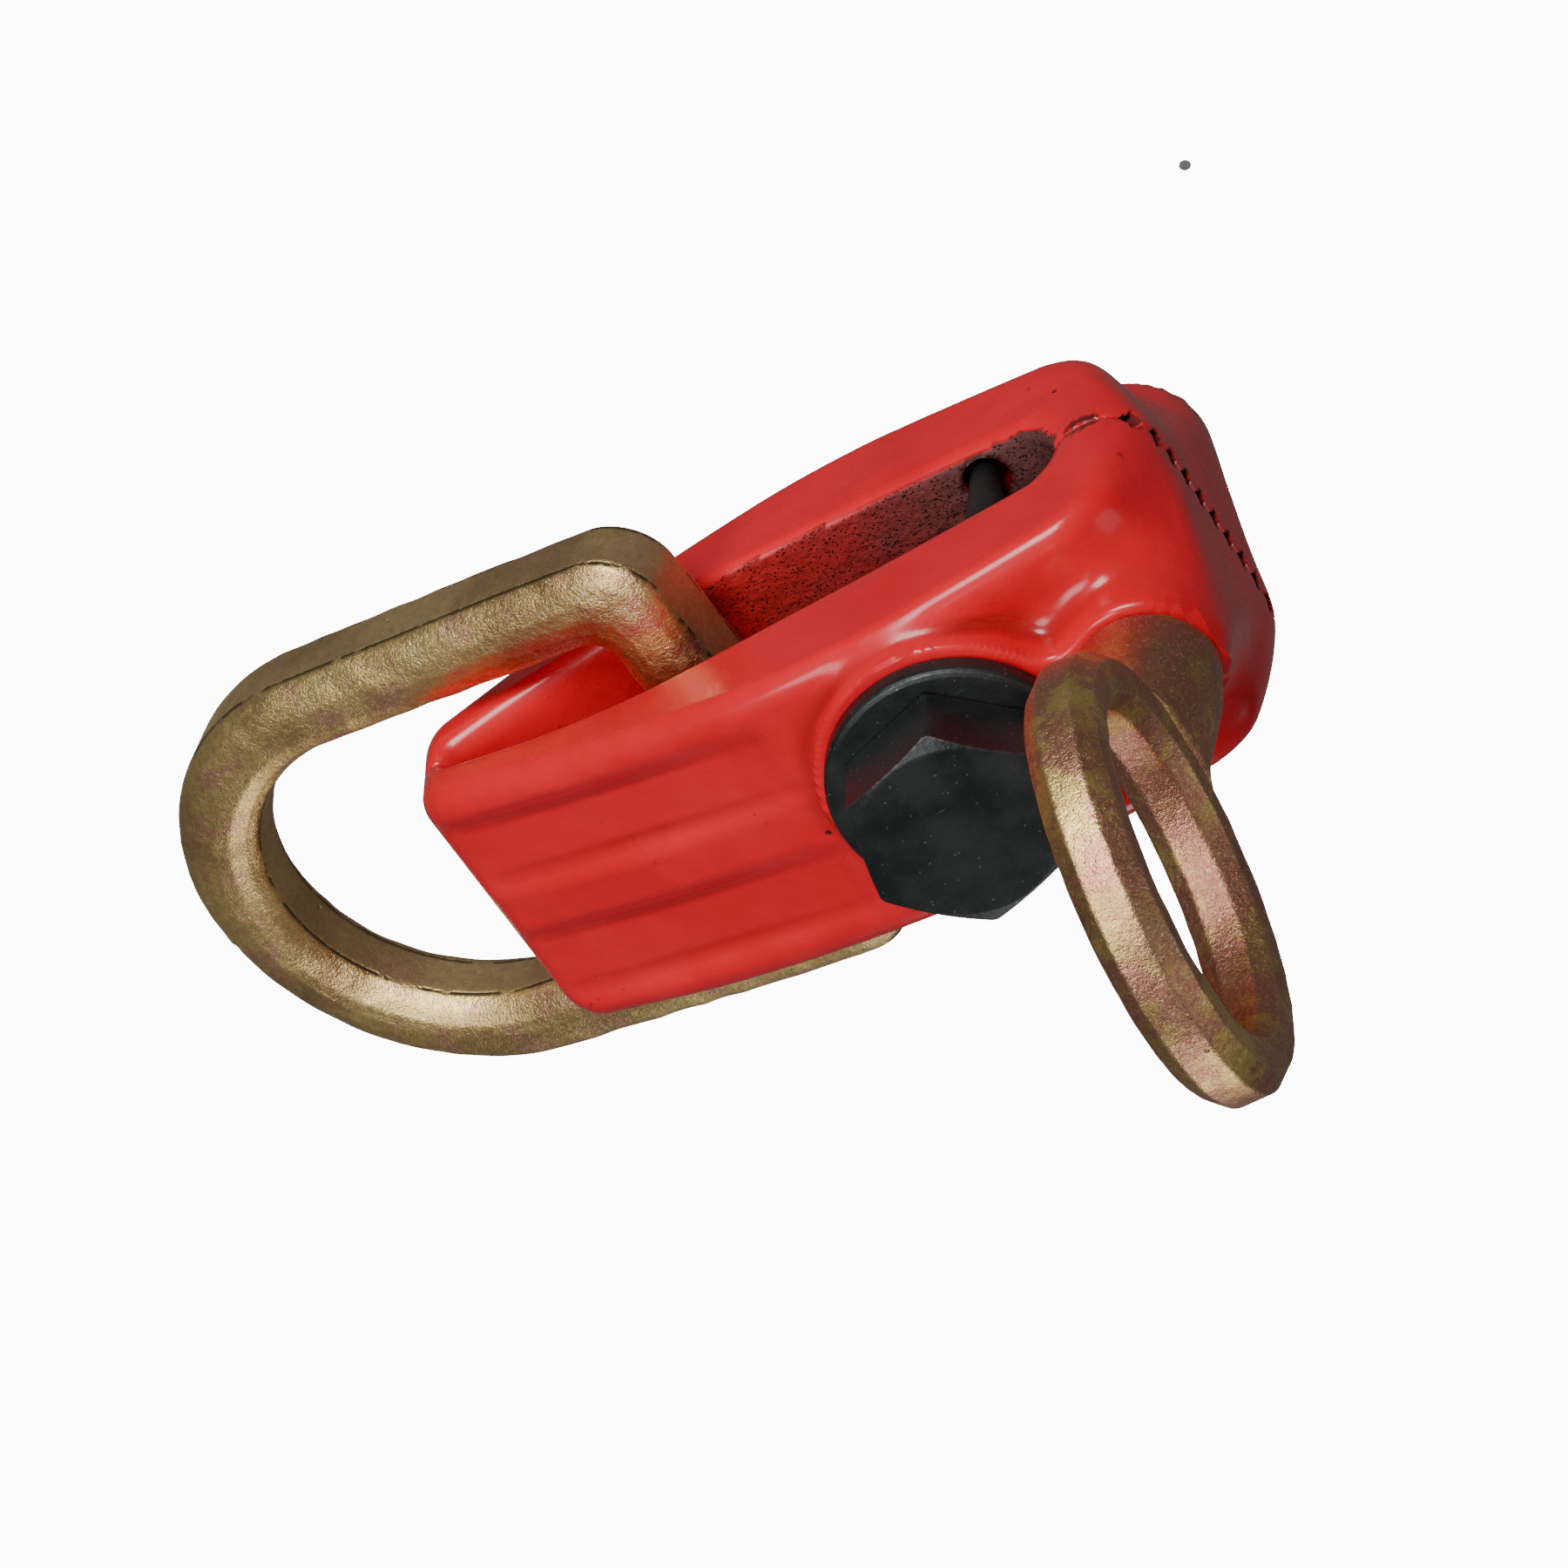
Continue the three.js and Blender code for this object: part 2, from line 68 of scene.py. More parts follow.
bolt_low, bolt_high = box_mm("clamp_bolt")
jaw_low, jaw_high = box_mm("upper_jaw")
AXIS_X = (bolt_low[0] + bolt_high[0]) / 2
REAR = AXIS_X - jaw_low[0]
FRONT = jaw_high[0] - AXIS_X
HALF = jaw_high[1]
SEAT = jaw_high[2]
PARTING = jaw_low[2]
HEAD_TOP = bolt_high[2]
BOLT_END = bolt_low[2]

# ---- sizes of the forging; the notches are cut a little deeper and wider than the frame's
FLANGE_TOP = SEAT - 0.4
HEEL_TOP = 9.5
RAMP_TOP = -26.0
CHANNEL_FRONT = -23.0
CHANNEL_DEPTH = 5.0
RIB = 9.0
FLANGE = 6.0
SLOT_REAR = -REAR + 6.0
SLOT_FRONT = 30.5
SLOT_HEIGHT = 10.7
BAR_SEAT = 12.2
BOLT_R = 10.0
BOLT_HOLE = 10.6
BOLT_SWING = 3.2
BOSS_R = 21.5
EYE_X = FRONT - 13.3
EYE_BOSS_R = 12.2
TOOTH_PITCH = 4.26
TOOTH_COUNT = 11
TOOTH_DEPTH = 2.3
TOOTH_HALF = 1.35
LAND_X = FRONT - 12.0
HEAD_AF = 30.0
HEAD_HEIGHT = 12.5
HEAD_TURN = 2.39
PITCH = 2.5
WASHER_R = 20.0
STEM_HOLE = 8.3
PIN_HOLE = 4.0
PIN_SOCKET = 3.6
CORE_TAIL = -77.0
CORE_HEAD = 38.0


# ---- mesh helpers ------------------------------------------------------------------------
def grid_faces(rows, cols, wrap_rows=False, wrap_cols=False):
    """Quads of a rows x cols grid of points stored row by row, wrapped round if asked."""
    r = np.arange(rows if wrap_rows else rows - 1)
    c = np.arange(cols if wrap_cols else cols - 1)
    r, c = np.meshgrid(r, c, indexing="ij")
    r2 = (r + 1) % rows
    c2 = (c + 1) % cols
    quads = np.stack([r * cols + c, r2 * cols + c, r2 * cols + c2, r * cols + c2], axis=-1)
    return quads.reshape(-1, 4)


def make_piece(name, points, quads, body, nodes, sharp=32.0, marks=None):
    """A closed mesh from points in millimetres and quads; doubles are merged, normals are
    turned outwards, marks are per-point numbers kept as attributes, and it rides on body,
    or on nothing where no body is given."""
    mesh = bpy.data.meshes.new(name)
    place = points + np.array([AXIS_X, 0.0, 0.0])
    mesh.from_pydata((place * MM).tolist(), [], quads.tolist())
    for mark, values in (marks or {}).items():
        layer = mesh.attributes.new(mark, "FLOAT", "POINT")
        layer.data.foreach_set("value", np.asarray(values, dtype=np.float32).ravel())
    work = bmesh.new()
    work.from_mesh(mesh)
    bmesh.ops.remove_doubles(work, verts=work.verts, dist=2e-6)
    bmesh.ops.dissolve_degenerate(work, edges=work.edges, dist=1e-7)
    bmesh.ops.recalc_face_normals(work, faces=work.faces)
    work.to_mesh(mesh)
    work.free()
    mesh.polygons.foreach_set("use_smooth", np.ones(len(mesh.polygons), dtype=bool))
    mesh.set_sharp_from_angle(angle=math.radians(sharp))
    piece = bpy.data.objects.new(name, mesh)
    bpy.context.scene.collection.objects.link(piece)
    if body:
        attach(piece, body)
    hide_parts(*nodes)
    return piece


def cut_holes(piece, cutters, operation="DIFFERENCE"):
    """Cuts each (points, quads) solid out of piece, or joins it on, and removes the cutter."""
    for number, (points, quads) in enumerate(cutters):
        mesh = bpy.data.meshes.new(f"cutter_{number}")
        mesh.from_pydata(((points + np.array([AXIS_X, 0.0, 0.0])) * MM).tolist(), [], quads.tolist())
        work = bmesh.new()
        work.from_mesh(mesh)
        bmesh.ops.remove_doubles(work, verts=work.verts, dist=1e-6)
        bmesh.ops.recalc_face_normals(work, faces=work.faces)
        work.to_mesh(mesh)
        work.free()
        cutter = bpy.data.objects.new(f"cutter_{number}", mesh)
        bpy.context.scene.collection.objects.link(cutter)
        cut = piece.modifiers.new("hole", "BOOLEAN")
        cut.operation = operation
        cut.solver = "EXACT"
        cut.object = cutter
        shaped = bpy.data.meshes.new_from_object(
            piece.evaluated_get(bpy.context.evaluated_depsgraph_get()))
        piece.modifiers.clear()
        old = piece.data
        shaped.name = old.name
        piece.data = shaped
        bpy.data.meshes.remove(old)
        bpy.data.objects.remove(cutter)
        bpy.data.meshes.remove(mesh)
    piece.data.set_sharp_from_angle(angle=math.radians(32))


def turned(profile, sides=96, x=0.0, y=0.0):
    """Surface of revolution: the (radius, z) profile is carried round the vertical through
    (x, y) in equal turns. Returns its points and quads; ends on the axis close the poles."""
    profile = np.asarray(profile, dtype=float)
    a = np.linspace(0, 2 * np.pi, sides, endpoint=False)
    r = profile[:, 0][:, None]
    points = np.stack([
        x + r * np.cos(a), y + r * np.sin(a), np.repeat(profile[:, 1][:, None], sides, axis=1)], axis=-1)
    return points.reshape(-1, 3), grid_faces(len(profile), sides, wrap_cols=True)


def rounded(corners, radius, steps=6):
    """An open outline whose inner corners are replaced by arcs of about the given radius:
    each is a quadratic blend between the two points that lie radius before and after it."""
    corners = np.asarray(corners, dtype=float)
    out = [corners[0]]
    for before, here, after in zip(corners[:-2], corners[1:-1], corners[2:]):
        reach = min(radius, np.linalg.norm(here - before) / 2, np.linalg.norm(after - here) / 2)
        a = here + (before - here) / np.linalg.norm(before - here) * reach
        b = here + (after - here) / np.linalg.norm(after - here) * reach
        t = np.linspace(0, 1, steps)[:, None]
        out.extend((1 - t) ** 2 * a + 2 * t * (1 - t) * here + t ** 2 * b)
    out.append(corners[-1])
    return np.array(out)


# ---- distance rules for the forging ---------------------------------------------------------
def round_max(a, b, radius):
    """Intersection of two bodies given by signed distances, its convex edge rounded."""
    u = np.maximum(a + radius, 0)
    v = np.maximum(b + radius, 0)
    return np.minimum(np.maximum(a, b) + radius, 0) + np.sqrt(u * u + v * v) - radius


def soft_min(a, b, radius):
    """Union of two bodies with a concave fillet: the smaller distance, eased where both
    are within radius of each other."""
    h = np.clip(0.5 + 0.5 * (b - a) / radius, 0, 1)
    return b * (1 - h) + a * h - radius * h * (1 - h)


def slope(x0, z0, x1, z1, x, z):
    """Signed distance above the line from (x0, z0) to (x1, z1), x0 < x1."""
    length = math.hypot(x1 - x0, z1 - z0)
    return ((z - z0) * (x1 - x0) - (x - x0) * (z1 - z0)) / length


def plan_rule(x, y, x0, x1, half, rear_r, front_r):
    """Distance to a rectangle in plan with its own corner radius at the rear and the front."""
    middle = (x0 + x1) / 2
    r = np.where(x < middle, rear_r, front_r)
    dx = np.abs(x - middle) - (x1 - x0) / 2
    return round_max(dx, np.abs(y) - half, r)


def slot_rule(x, z):
    """Distance to the half slot: wedge, bar seat and bolt stretch as lines, and a quarter
    ellipse for the front end; negative in the open space."""
    d = slope(SLOT_REAR, 2.0, -60, 8.5, x, z)
    d = round_max(d, slope(-60, 8.5, -34, BAR_SEAT, x, z), 6.0)
    d = round_max(d, slope(-34, BAR_SEAT, -15, SLOT_HEIGHT, x, z), 6.0)
    d = round_max(d, z - SLOT_HEIGHT - 0.12 * np.maximum(-15 - x, 0), 2.0)
    long = SLOT_FRONT - 12.0
    end = np.sqrt((np.maximum(x - 12, 0) / long) ** 2 + (z / 11.0) ** 2) - 1
    d = np.maximum(d, 11.0 * end * 0.9 - 0.12 * np.maximum(12 - x, 0))
    return round_max(d, SLOT_REAR - x, 1.0)


def forging_rule(p):
    """Signed distance to one jaw, drawn as the upper one, before drilling.

    Plan outline and side outline are crossed with a 4.5 mm edge rounding; two channels and
    the valley between the bosses are taken out, both bosses are blended in, and then the
    slot, the parting plane and the tooth notches are cut."""
    x, y, z = p[..., 0], p[..., 1], p[..., 2]
    top = z - FLANGE_TOP
    ramp = slope(-REAR, HEEL_TOP, RAMP_TOP, FLANGE_TOP, x, z)
    back = round_max(top, ramp, 16.0)
    brow = slope(12, FLANGE_TOP, FRONT - 9, FLANGE_TOP * 0.80, x, z)
    nose = slope(FRONT - 9, FLANGE_TOP * 0.80, FRONT - 1.0, FLANGE_TOP * 0.28, x, z)
    outer = round_max(round_max(back, brow, 14.0), nose, 7.0)
    plan = plan_rule(x, y, -REAR, FRONT, HALF, 6.0, 9.0)
    d = round_max(outer, plan, 4.5)

    # channels: region in plan crossed with a floor that leaves the ramp at the heel
    middle = (RIB / 2 + HALF - FLANGE) / 2
    half = (HALF - FLANGE - RIB / 2) / 2
    region = plan_rule(x, np.abs(y) - middle, -REAR - 30, CHANNEL_FRONT, half, 1.0, 3.0)
    floor = -slope(-REAR - 1, HEEL_TOP - 0.9, RAMP_TOP, FLANGE_TOP - CHANNEL_DEPTH, x, z)
    d = round_max(d, -round_max(region, floor, 3.0), 2.2)

    # valley between the two bosses
    region = plan_rule(x, y, 4, EYE_X + 2, HALF - FLANGE - 0.5, 6.0, 6.0)
    d = round_max(d, -round_max(region, FLANGE_TOP - 5.5 - z, 4.5), 3.0)

    boss = round_max(np.hypot(x, y) - BOSS_R - (SEAT - z) * 0.12, z - SEAT, 0.9)
    d = soft_min(d, round_max(boss, 14 - z, 1.0), 3.2)
    eye_r = EYE_BOSS_R + (SEAT - z) * 0.16
    eye = round_max(np.hypot(x - EYE_X, y) - eye_r, z - SEAT, 1.6)
    d = soft_min(d, round_max(eye, 4 - z, 1.0), 8.0)
    d = round_max(round_max(d, x - FRONT, 1.0), z - SEAT, 0.5)

    d = round_max(d, -slot_rule(x, z), np.interp(x, [-62, -28], [4.6, 2.8]))
    d = round_max(d, PARTING - z, 0.7)
    count = np.clip(np.round(y / TOOTH_PITCH), -(TOOTH_COUNT // 2), TOOTH_COUNT // 2)
    notch = z - PARTING - TOOTH_DEPTH + np.abs(y - count * TOOTH_PITCH) * TOOTH_DEPTH / TOOTH_HALF
    notch = np.maximum(notch * 0.65, LAND_X - x)
    return np.maximum(d, -notch)


def core_line(x):
    """Height of a line that stays inside the jaw all along it."""
    return np.interp(x, [-77, -60, -32, 0, 20, 30, 38], [6.2, 12.6, 18.2, 21.0, 19.0, 12.5, 8.0])


def forging_surface():
    """The jaw's skin on two parameters. The first runs round a lengthwise loop: over the
    back, down the nose, along the underside and up the heel. The second runs across and
    fans out at both sides. Each pair gives a ray from the core line, and the point is where
    the ray leaves the body, found by stepping and then halving."""
    back = np.linspace(CORE_TAIL, CORE_HEAD, 158)
    under = back[::-1]
    nose = np.linspace(np.pi / 2, -np.pi / 2, 46)[1:-1]
    heel = np.linspace(-np.pi / 2, -np.pi * 1.5, 30)[1:-1]
    x = np.concatenate([
        back, np.full(len(nose), CORE_HEAD), under, np.full(len(heel), CORE_TAIL)])
    angle = np.concatenate([
        np.full(len(back), np.pi / 2), nose, np.full(len(under), -np.pi / 2), heel])
    inset = TOOTH_PITCH * 4.75
    across = np.arange(-inset, inset + 0.01, TOOTH_PITCH / 14)
    fan = (np.linspace(0, 1, 30)[1:] ** 0.85) * np.pi / 2
    y = np.concatenate([np.full(len(fan), -inset), across, np.full(len(fan), inset)])
    tilt = np.concatenate([-fan[::-1], np.zeros(len(across)), fan])

    start = np.stack(np.broadcast_arrays(x[:, None], y[None, :], core_line(x)[:, None]), axis=-1)
    way = np.stack(np.broadcast_arrays(
        np.cos(angle)[:, None] * np.cos(tilt)[None, :],
        np.sin(tilt)[None, :] + 0 * angle[:, None],
        np.sin(angle)[:, None] * np.cos(tilt)[None, :]), axis=-1)
    near = np.zeros(start.shape[:2])
    far = np.full(start.shape[:2], 42.0)
    found = np.zeros(start.shape[:2], dtype=bool)
    for step in np.linspace(1.0, 42.0, 54):
        out = forging_rule(start + way * step) > 0
        far = np.where(out & ~found, step, far)
        found |= out
        near = np.where(found, near, step)
    for _ in range(22):
        half = (near + far) / 2
        out = forging_rule(start + way * half[..., None]) > 0
        far = np.where(out, half, far)
        near = np.where(out, near, half)
    points = start + way * ((near + far) / 2)[..., None]
    bite = (points[..., 0] > LAND_X - 3) & (points[..., 2] < 5)
    for _ in range(14):
        points = np.where(bite[..., None], points, even_out(points))
    return points, grid_faces(len(x), len(y), wrap_rows=True)


def even_out(points):
    """One round of spreading: every point goes halfway to the mean of its four grid
    neighbours, then back to the body along the slope of the distance rule."""
    mean = (np.roll(points, 1, 0) + np.roll(points, -1, 0)) / 4
    mean[:, 1:-1] += (points[:, 2:] + points[:, :-2]) / 4
    moved = points.copy()
    moved[:, 1:-1] = (points[:, 1:-1] + mean[:, 1:-1]) / 2
    reach = 0.04
    for _ in range(2):
        rise = np.stack([
            forging_rule(moved + reach * axis) - forging_rule(moved - reach * axis)
            for axis in np.eye(3)], axis=-1) / (2 * reach)
        steep = np.maximum((rise ** 2).sum(axis=-1, keepdims=True), 0.3)
        moved -= np.clip(forging_rule(moved)[..., None] * rise / steep, -0.6, 0.6)
    return moved


def mark_bend(piece, rounds=2):
    """Keeps in the attribute "bend" how strongly the surface bends at each point, in turns
    per millimetre: along each edge the change of normal is projected on the edge and
    divided by its length, and the mean over a point's edges is smoothed over neighbours."""
    mesh = piece.data
    count = len(mesh.vertices)
    place = np.zeros(count * 3, dtype=np.float32)
    mesh.vertices.foreach_get("co", place)
    place = place.reshape(-1, 3) / MM
    normal = np.zeros(count * 3, dtype=np.float32)
    mesh.vertex_normals.foreach_get("vector", normal)
    normal = normal.reshape(-1, 3)
    ends = np.zeros(len(mesh.edges) * 2, dtype=np.int32)
    mesh.edges.foreach_get("vertices", ends)
    a, b = ends.reshape(-1, 2).T
    along = place[b] - place[a]
    bend = np.einsum("ij,ij->i", normal[b] - normal[a], along)
    bend /= np.maximum(np.einsum("ij,ij->i", along, along), 0.02)
    share = np.maximum(np.bincount(a, minlength=count) + np.bincount(b, minlength=count), 1)
    value = (np.bincount(a, bend, count) + np.bincount(b, bend, count)) / share
    for _ in range(rounds):
        value = (np.bincount(a, value[b], count) + np.bincount(b, value[a], count)) / share
    layer = mesh.attributes.get("bend") or mesh.attributes.new("bend", "FLOAT", "POINT")
    layer.data.foreach_set("value", np.clip(value, -1, 1).astype(np.float32))


def make_jaws():
    """Both jaws from the one skin; the lower one is turned over about X."""
    points, quads = forging_surface()
    # inside marks the slot's faces, where the enamel is thin and painted shade darkens it
    inside = np.abs(slot_rule(points[..., 0], points[..., 2])) < 0.6
    inside = inside & (np.abs(points[..., 1]) < HALF - 0.4) & (points[..., 2] > PARTING + 0.4)
    # the notch mark picks out the tooth notches, which the enamel darkens as painted shade
    tooth = np.abs(points[..., 1] - TOOTH_PITCH * np.round(points[..., 1] / TOOTH_PITCH))
    notch_top = PARTING + 0.15 + TOOTH_DEPTH * (1 - tooth / TOOTH_HALF)
    notch = (points[..., 0] > LAND_X + 0.3) & (tooth < TOOTH_HALF) & (
        points[..., 2] < notch_top) & (points[..., 2] > PARTING + 0.2)
    marks = {"inside": inside.astype(float), "notch": notch.astype(float)}
    flat = points.reshape(-1, 3)
    upper = make_piece("upper_jaw_forging", flat, quads, "upper_jaw", ["upper_jaw"], marks=marks)
    lower = make_piece(
        "lower_jaw_forging", flat * np.array([1.0, -1.0, -1.0]), quads, "lower_jaw", ["lower_jaw"],
        marks=marks)
    pin_x, pin_y = PIN_PLACE

    def hole(r, z0, z1, x=0.0, y=0.0, sides=64):
        return turned([(0, z0), (r, z0), (r, z1), (0, z1)], sides, x, y)

    cut_holes(upper, [
        hole(BOLT_HOLE, -2, SEAT + 3),
        hole(STEM_HOLE, SEAT - 22, SEAT + 3, EYE_X),
        hole(PIN_HOLE, -2, SLOT_HEIGHT + 11.25, pin_x, pin_y, 40),
        hole(PIN_HOLE, -2, SLOT_HEIGHT + 11.25, pin_x, -pin_y, 40)])
    slot_points, slot_quads = hole(BOLT_HOLE, -SEAT - 3, 2)
    slot_points = slot_points + np.where(slot_points[:, :1] > 0.01, BOLT_SWING, 0) * np.array([1, 0, 0])
    cut_holes(lower, [
        (slot_points, slot_quads),
        hole(PIN_SOCKET, -19, 2, pin_x + 0.4, pin_y, 40),
        hole(PIN_SOCKET, -19, 2, pin_x + 0.4, -pin_y, 40)])
    # the drilled holes' walls join the notch mark, which the enamel darkens as painted shade
    for jaw in (upper, lower):
        count = len(jaw.data.vertices)
        place = np.zeros(count * 3, dtype=np.float32)
        jaw.data.vertices.foreach_get("co", place)
        place = place.reshape(-1, 3) / MM - np.array([AXIS_X, 0, 0])
        bolt_hole = np.hypot(place[:, 0] - np.clip(place[:, 0], 0, BOLT_SWING), place[:, 1]) - BOLT_HOLE
        sockets = np.hypot(place[:, 0] - pin_x - 0.2, np.abs(place[:, 1]) - pin_y) - 4.1
        drilled = (bolt_hole < 0.06) & (np.abs(place[:, 2]) < SEAT - 0.1)
        drilled |= (sockets < 0.06) & (np.abs(place[:, 2] - PARTING) < 9)
        layer = jaw.data.attributes["notch"]
        kept = np.zeros(count, dtype=np.float32)
        layer.data.foreach_get("value", kept)
        layer.data.foreach_set("value", np.maximum(kept, drilled).astype(np.float32))
    return upper, lower


pin_low, pin_high = box_mm("guide_pin_left")
PIN_PLACE = ((pin_low[0] + pin_high[0]) / 2 - AXIS_X, (pin_low[1] + pin_high[1]) / 2)


# ---- bolt, washer, spring and pins --------------------------------------------------
def hex_radius(a):
    """Radius of the hexagon at each angle: half the flats' distance over the cosine of the
    angle from the nearest flat's middle, held back a little at the corners."""
    turn = (a - HEAD_TURN + np.pi / 6) % (np.pi / 3) - np.pi / 6
    flat = np.pi / 6 - np.abs(turn)
    return np.minimum(HEAD_AF / 2 / np.cos(flat), HEAD_AF / math.sqrt(3) - 0.22)


def hex_block(rows, sides=288):
    """A hexagonal block from rows of (share of the hexagon, limit radius, z, slant): each
    row's radius is the smaller of hexagon and limit, and where the hexagon is the smaller,
    the row is pulled along z by slant for every millimetre it falls short."""
    a = np.linspace(0, 2 * np.pi, sides, endpoint=False)
    hexagon = hex_radius(a)[None, :]
    share, limit, z, slant = (np.array(column, dtype=float)[:, None] for column in zip(*rows))
    r = np.minimum(hexagon * share, limit)
    height = z + slant * (limit - r)
    return np.stack([r * np.cos(a), r * np.sin(a), height + 0 * a], axis=-1)


def head_rows():
    """Rows for hex_block from under the head, over its sides and the chamfer of 24 degrees,
    to the middle of the top."""
    z0, z1 = HEAD_TOP - HEAD_HEIGHT, HEAD_TOP
    face = HEAD_AF / 2 * 0.985
    corner = HEAD_AF / math.sqrt(3) + 0.2
    slant = math.tan(math.radians(24))
    high = z1 - 0.06 - (corner - face) * slant
    rows = [
        (1, BOLT_R + 0.4, z0, 0), (1, face * 0.7, z0, 0), (0.985, corner, z0, 0),
        (0.998, corner, z0 + 0.12, 0)]
    rows += [(1, corner, height, 0) for height in np.linspace(z0 + 0.4, high - 1.4, 14)]
    rows += [(1, corner, high + step, slant * share) for step, share in ((-0.8, 0.25), (-0.3, 0.75), (0, 1))]
    rows += [
        (1, face + step, z1 - 0.06 - step * slant, slant)
        for step in np.linspace(corner - face - 0.2, 0.25, 9)]
    rows += [(1, face, z1 - 0.05, 0), (1, face - 0.35, z1, 0)]
    rows += [(1, face * share, z1, 0) for share in (0.9, 0.75, 0.6, 0.45, 0.3, 0.15)]
    return rows + [(1, 0.001, z1, 0)]


def clamp_screw():
    """Head and shank in one skin: hexagon rows above, then a straight shank, then a thread
    whose radius falls by a triangle wave of height and turn, and a chamfered end."""
    sides = 288
    a = np.linspace(0, 2 * np.pi, sides, endpoint=False)
    head_z = HEAD_TOP - HEAD_HEIGHT
    head = hex_block(head_rows(), sides)[::-1]
    z = np.concatenate([
        np.linspace(head_z - 0.3, BOLT_END + 46, 8),
        np.arange(BOLT_END + 45.8, BOLT_END + 0.05, -PITCH / 11)])[:, None] + 0 * a
    wave = np.abs(((z / PITCH + a / (2 * np.pi)) % 1) * 2 - 1)
    depth = 1.35 * np.clip(wave * 1.25 - 0.12, 0, 1)
    start = np.clip((BOLT_END + 45 - z) / 3, 0, 1)
    end = np.clip((BOLT_END + 2.0 - z) / 2.0, 0, 1) * 2.0
    r = np.minimum(BOLT_R - 0.06 - depth * start, BOLT_R - end)
    shank = np.stack([r * np.cos(a), r * np.sin(a), z], axis=-1)
    tip = np.stack([0.001 * np.cos(a), 0.001 * np.sin(a), BOLT_END + 0 * a], axis=-1)[None]
    flat = np.stack([7.9 * np.cos(a), 7.9 * np.sin(a), BOLT_END + 0 * a], axis=-1)[None]
    points = np.concatenate([head, shank, flat, tip])
    return points.reshape(-1, 3), grid_faces(len(points), sides, wrap_cols=True)


def washer_ring(z0, z1):
    """A blanked washer: rolled edge on one face, a short burnished land and a rougher break."""
    inner, outer = BOLT_R + 0.3, WASHER_R
    loop = [
        (inner, z0 + 0.3), (inner + 0.3, z0), (outer - 0.5, z0), (outer - 0.12, z0 + 0.12),
        (outer, z0 + 0.5), (outer, z1 - 1.1), (outer - 0.1, z1 - 0.75), (outer - 0.45, z1 - 0.3),
        (outer - 1.1, z1 - 0.04), (outer - 1.9, z1), (inner + 0.6, z1), (inner, z1 - 0.6)]
    r = np.array([row[0] for row in loop])
    z = np.array([row[1] for row in loop])
    fine_r = []
    fine_z = []
    for i in range(len(loop)):
        j = (i + 1) % len(loop)
        t = np.linspace(0, 1, 5, endpoint=False)
        fine_r.append(r[i] + (r[j] - r[i]) * t)
        fine_z.append(z[i] + (z[j] - z[i]) * t)
    profile = np.stack([np.concatenate(fine_r), np.concatenate(fine_z)], axis=1)
    points, _ = turned(profile, 180)
    return points, grid_faces(len(profile), 180, wrap_rows=True, wrap_cols=True)


def spring_wire():
    """Wire carried round a helix of four turns whose first and last parts lie flat, with a
    round section and closed ends."""
    turns, wire = 4, 1.5
    radius = BOLT_R + 0.8 + wire
    half = SLOT_HEIGHT - 0.25 - wire
    t = np.linspace(0, 1, turns * 72)
    flat = 0.75 / turns
    rise = np.clip((t - flat / 2) / (1 - flat), 0, 1)
    a = 2 * np.pi * turns * t
    line = np.stack([radius * np.cos(a), radius * np.sin(a), -half + 2 * half * rise], axis=1)
    along = np.gradient(line, axis=0)
    along /= np.linalg.norm(along, axis=1, keepdims=True)
    out = np.stack([np.cos(a), np.sin(a), 0 * a], axis=1)
    up = np.cross(out, along)
    b = np.linspace(0, 2 * np.pi, 20, endpoint=False)
    line = np.concatenate([line[:1], line, line[-1:]])
    out = np.concatenate([out[:1], out, out[-1:]])
    up = np.concatenate([up[:1], up, up[-1:]])
    size = np.concatenate([[0.001, wire - 0.3], np.full(len(t) - 2, wire), [wire - 0.3, 0.001]])
    points = line[:, None] + size[:, None, None] * (
        np.cos(b)[None, :, None] * out[:, None] + np.sin(b)[None, :, None] * up[:, None])
    return points.reshape(-1, 3), grid_faces(len(line), len(b), wrap_cols=True)


def taper_pin(y):
    """A pin turned from a rounded tip through a long taper to its parallel root."""
    profile = rounded([
        (0, -16.0), (1.1, -16.0), (1.7, -15.0), (3.55, 6.5), (3.7, 8.7), (3.7, 21.0), (3.3, 21.7), (0, 21.7)],
        1.0, 5)
    body = np.concatenate([
        np.stack([np.linspace(a[0], b[0], 6, endpoint=False), np.linspace(a[1], b[1], 6, endpoint=False)], 1)
        for a, b in zip(profile[:-1], profile[1:])] + [profile[-1:]])
    return turned(body, 48, PIN_PLACE[0], y)


# ---- the two pulls ------------------------------------------------------------------------
def closed_loop(corners, radius, steps=7, straight=5):
    """A closed outline from corners, each replaced by a quadratic blend between the points
    that lie radius before and after it, with the straights split evenly."""
    corners = np.asarray(corners, dtype=float)
    before = np.roll(corners, 1, axis=0)
    after = np.roll(corners, -1, axis=0)
    reach_a = np.minimum(radius, np.linalg.norm(corners - before, axis=1) * 0.48)[:, None]
    reach_b = np.minimum(radius, np.linalg.norm(corners - after, axis=1) * 0.48)[:, None]
    a = corners + (before - corners) / np.linalg.norm(before - corners, axis=1, keepdims=True) * reach_a
    b = corners + (after - corners) / np.linalg.norm(after - corners, axis=1, keepdims=True) * reach_b
    t = np.linspace(0, 1, steps)[None, :, None]
    arcs = (1 - t) ** 2 * a[:, None] + 2 * t * (1 - t) * corners[:, None] + t ** 2 * b[:, None]
    u = np.linspace(0, 1, straight + 1)[1:-1][None, :, None]
    runs = b[:, None] * (1 - u) + np.roll(a, -1, axis=0)[:, None] * u
    return np.concatenate([arcs, runs], axis=1).reshape(-1, 2)


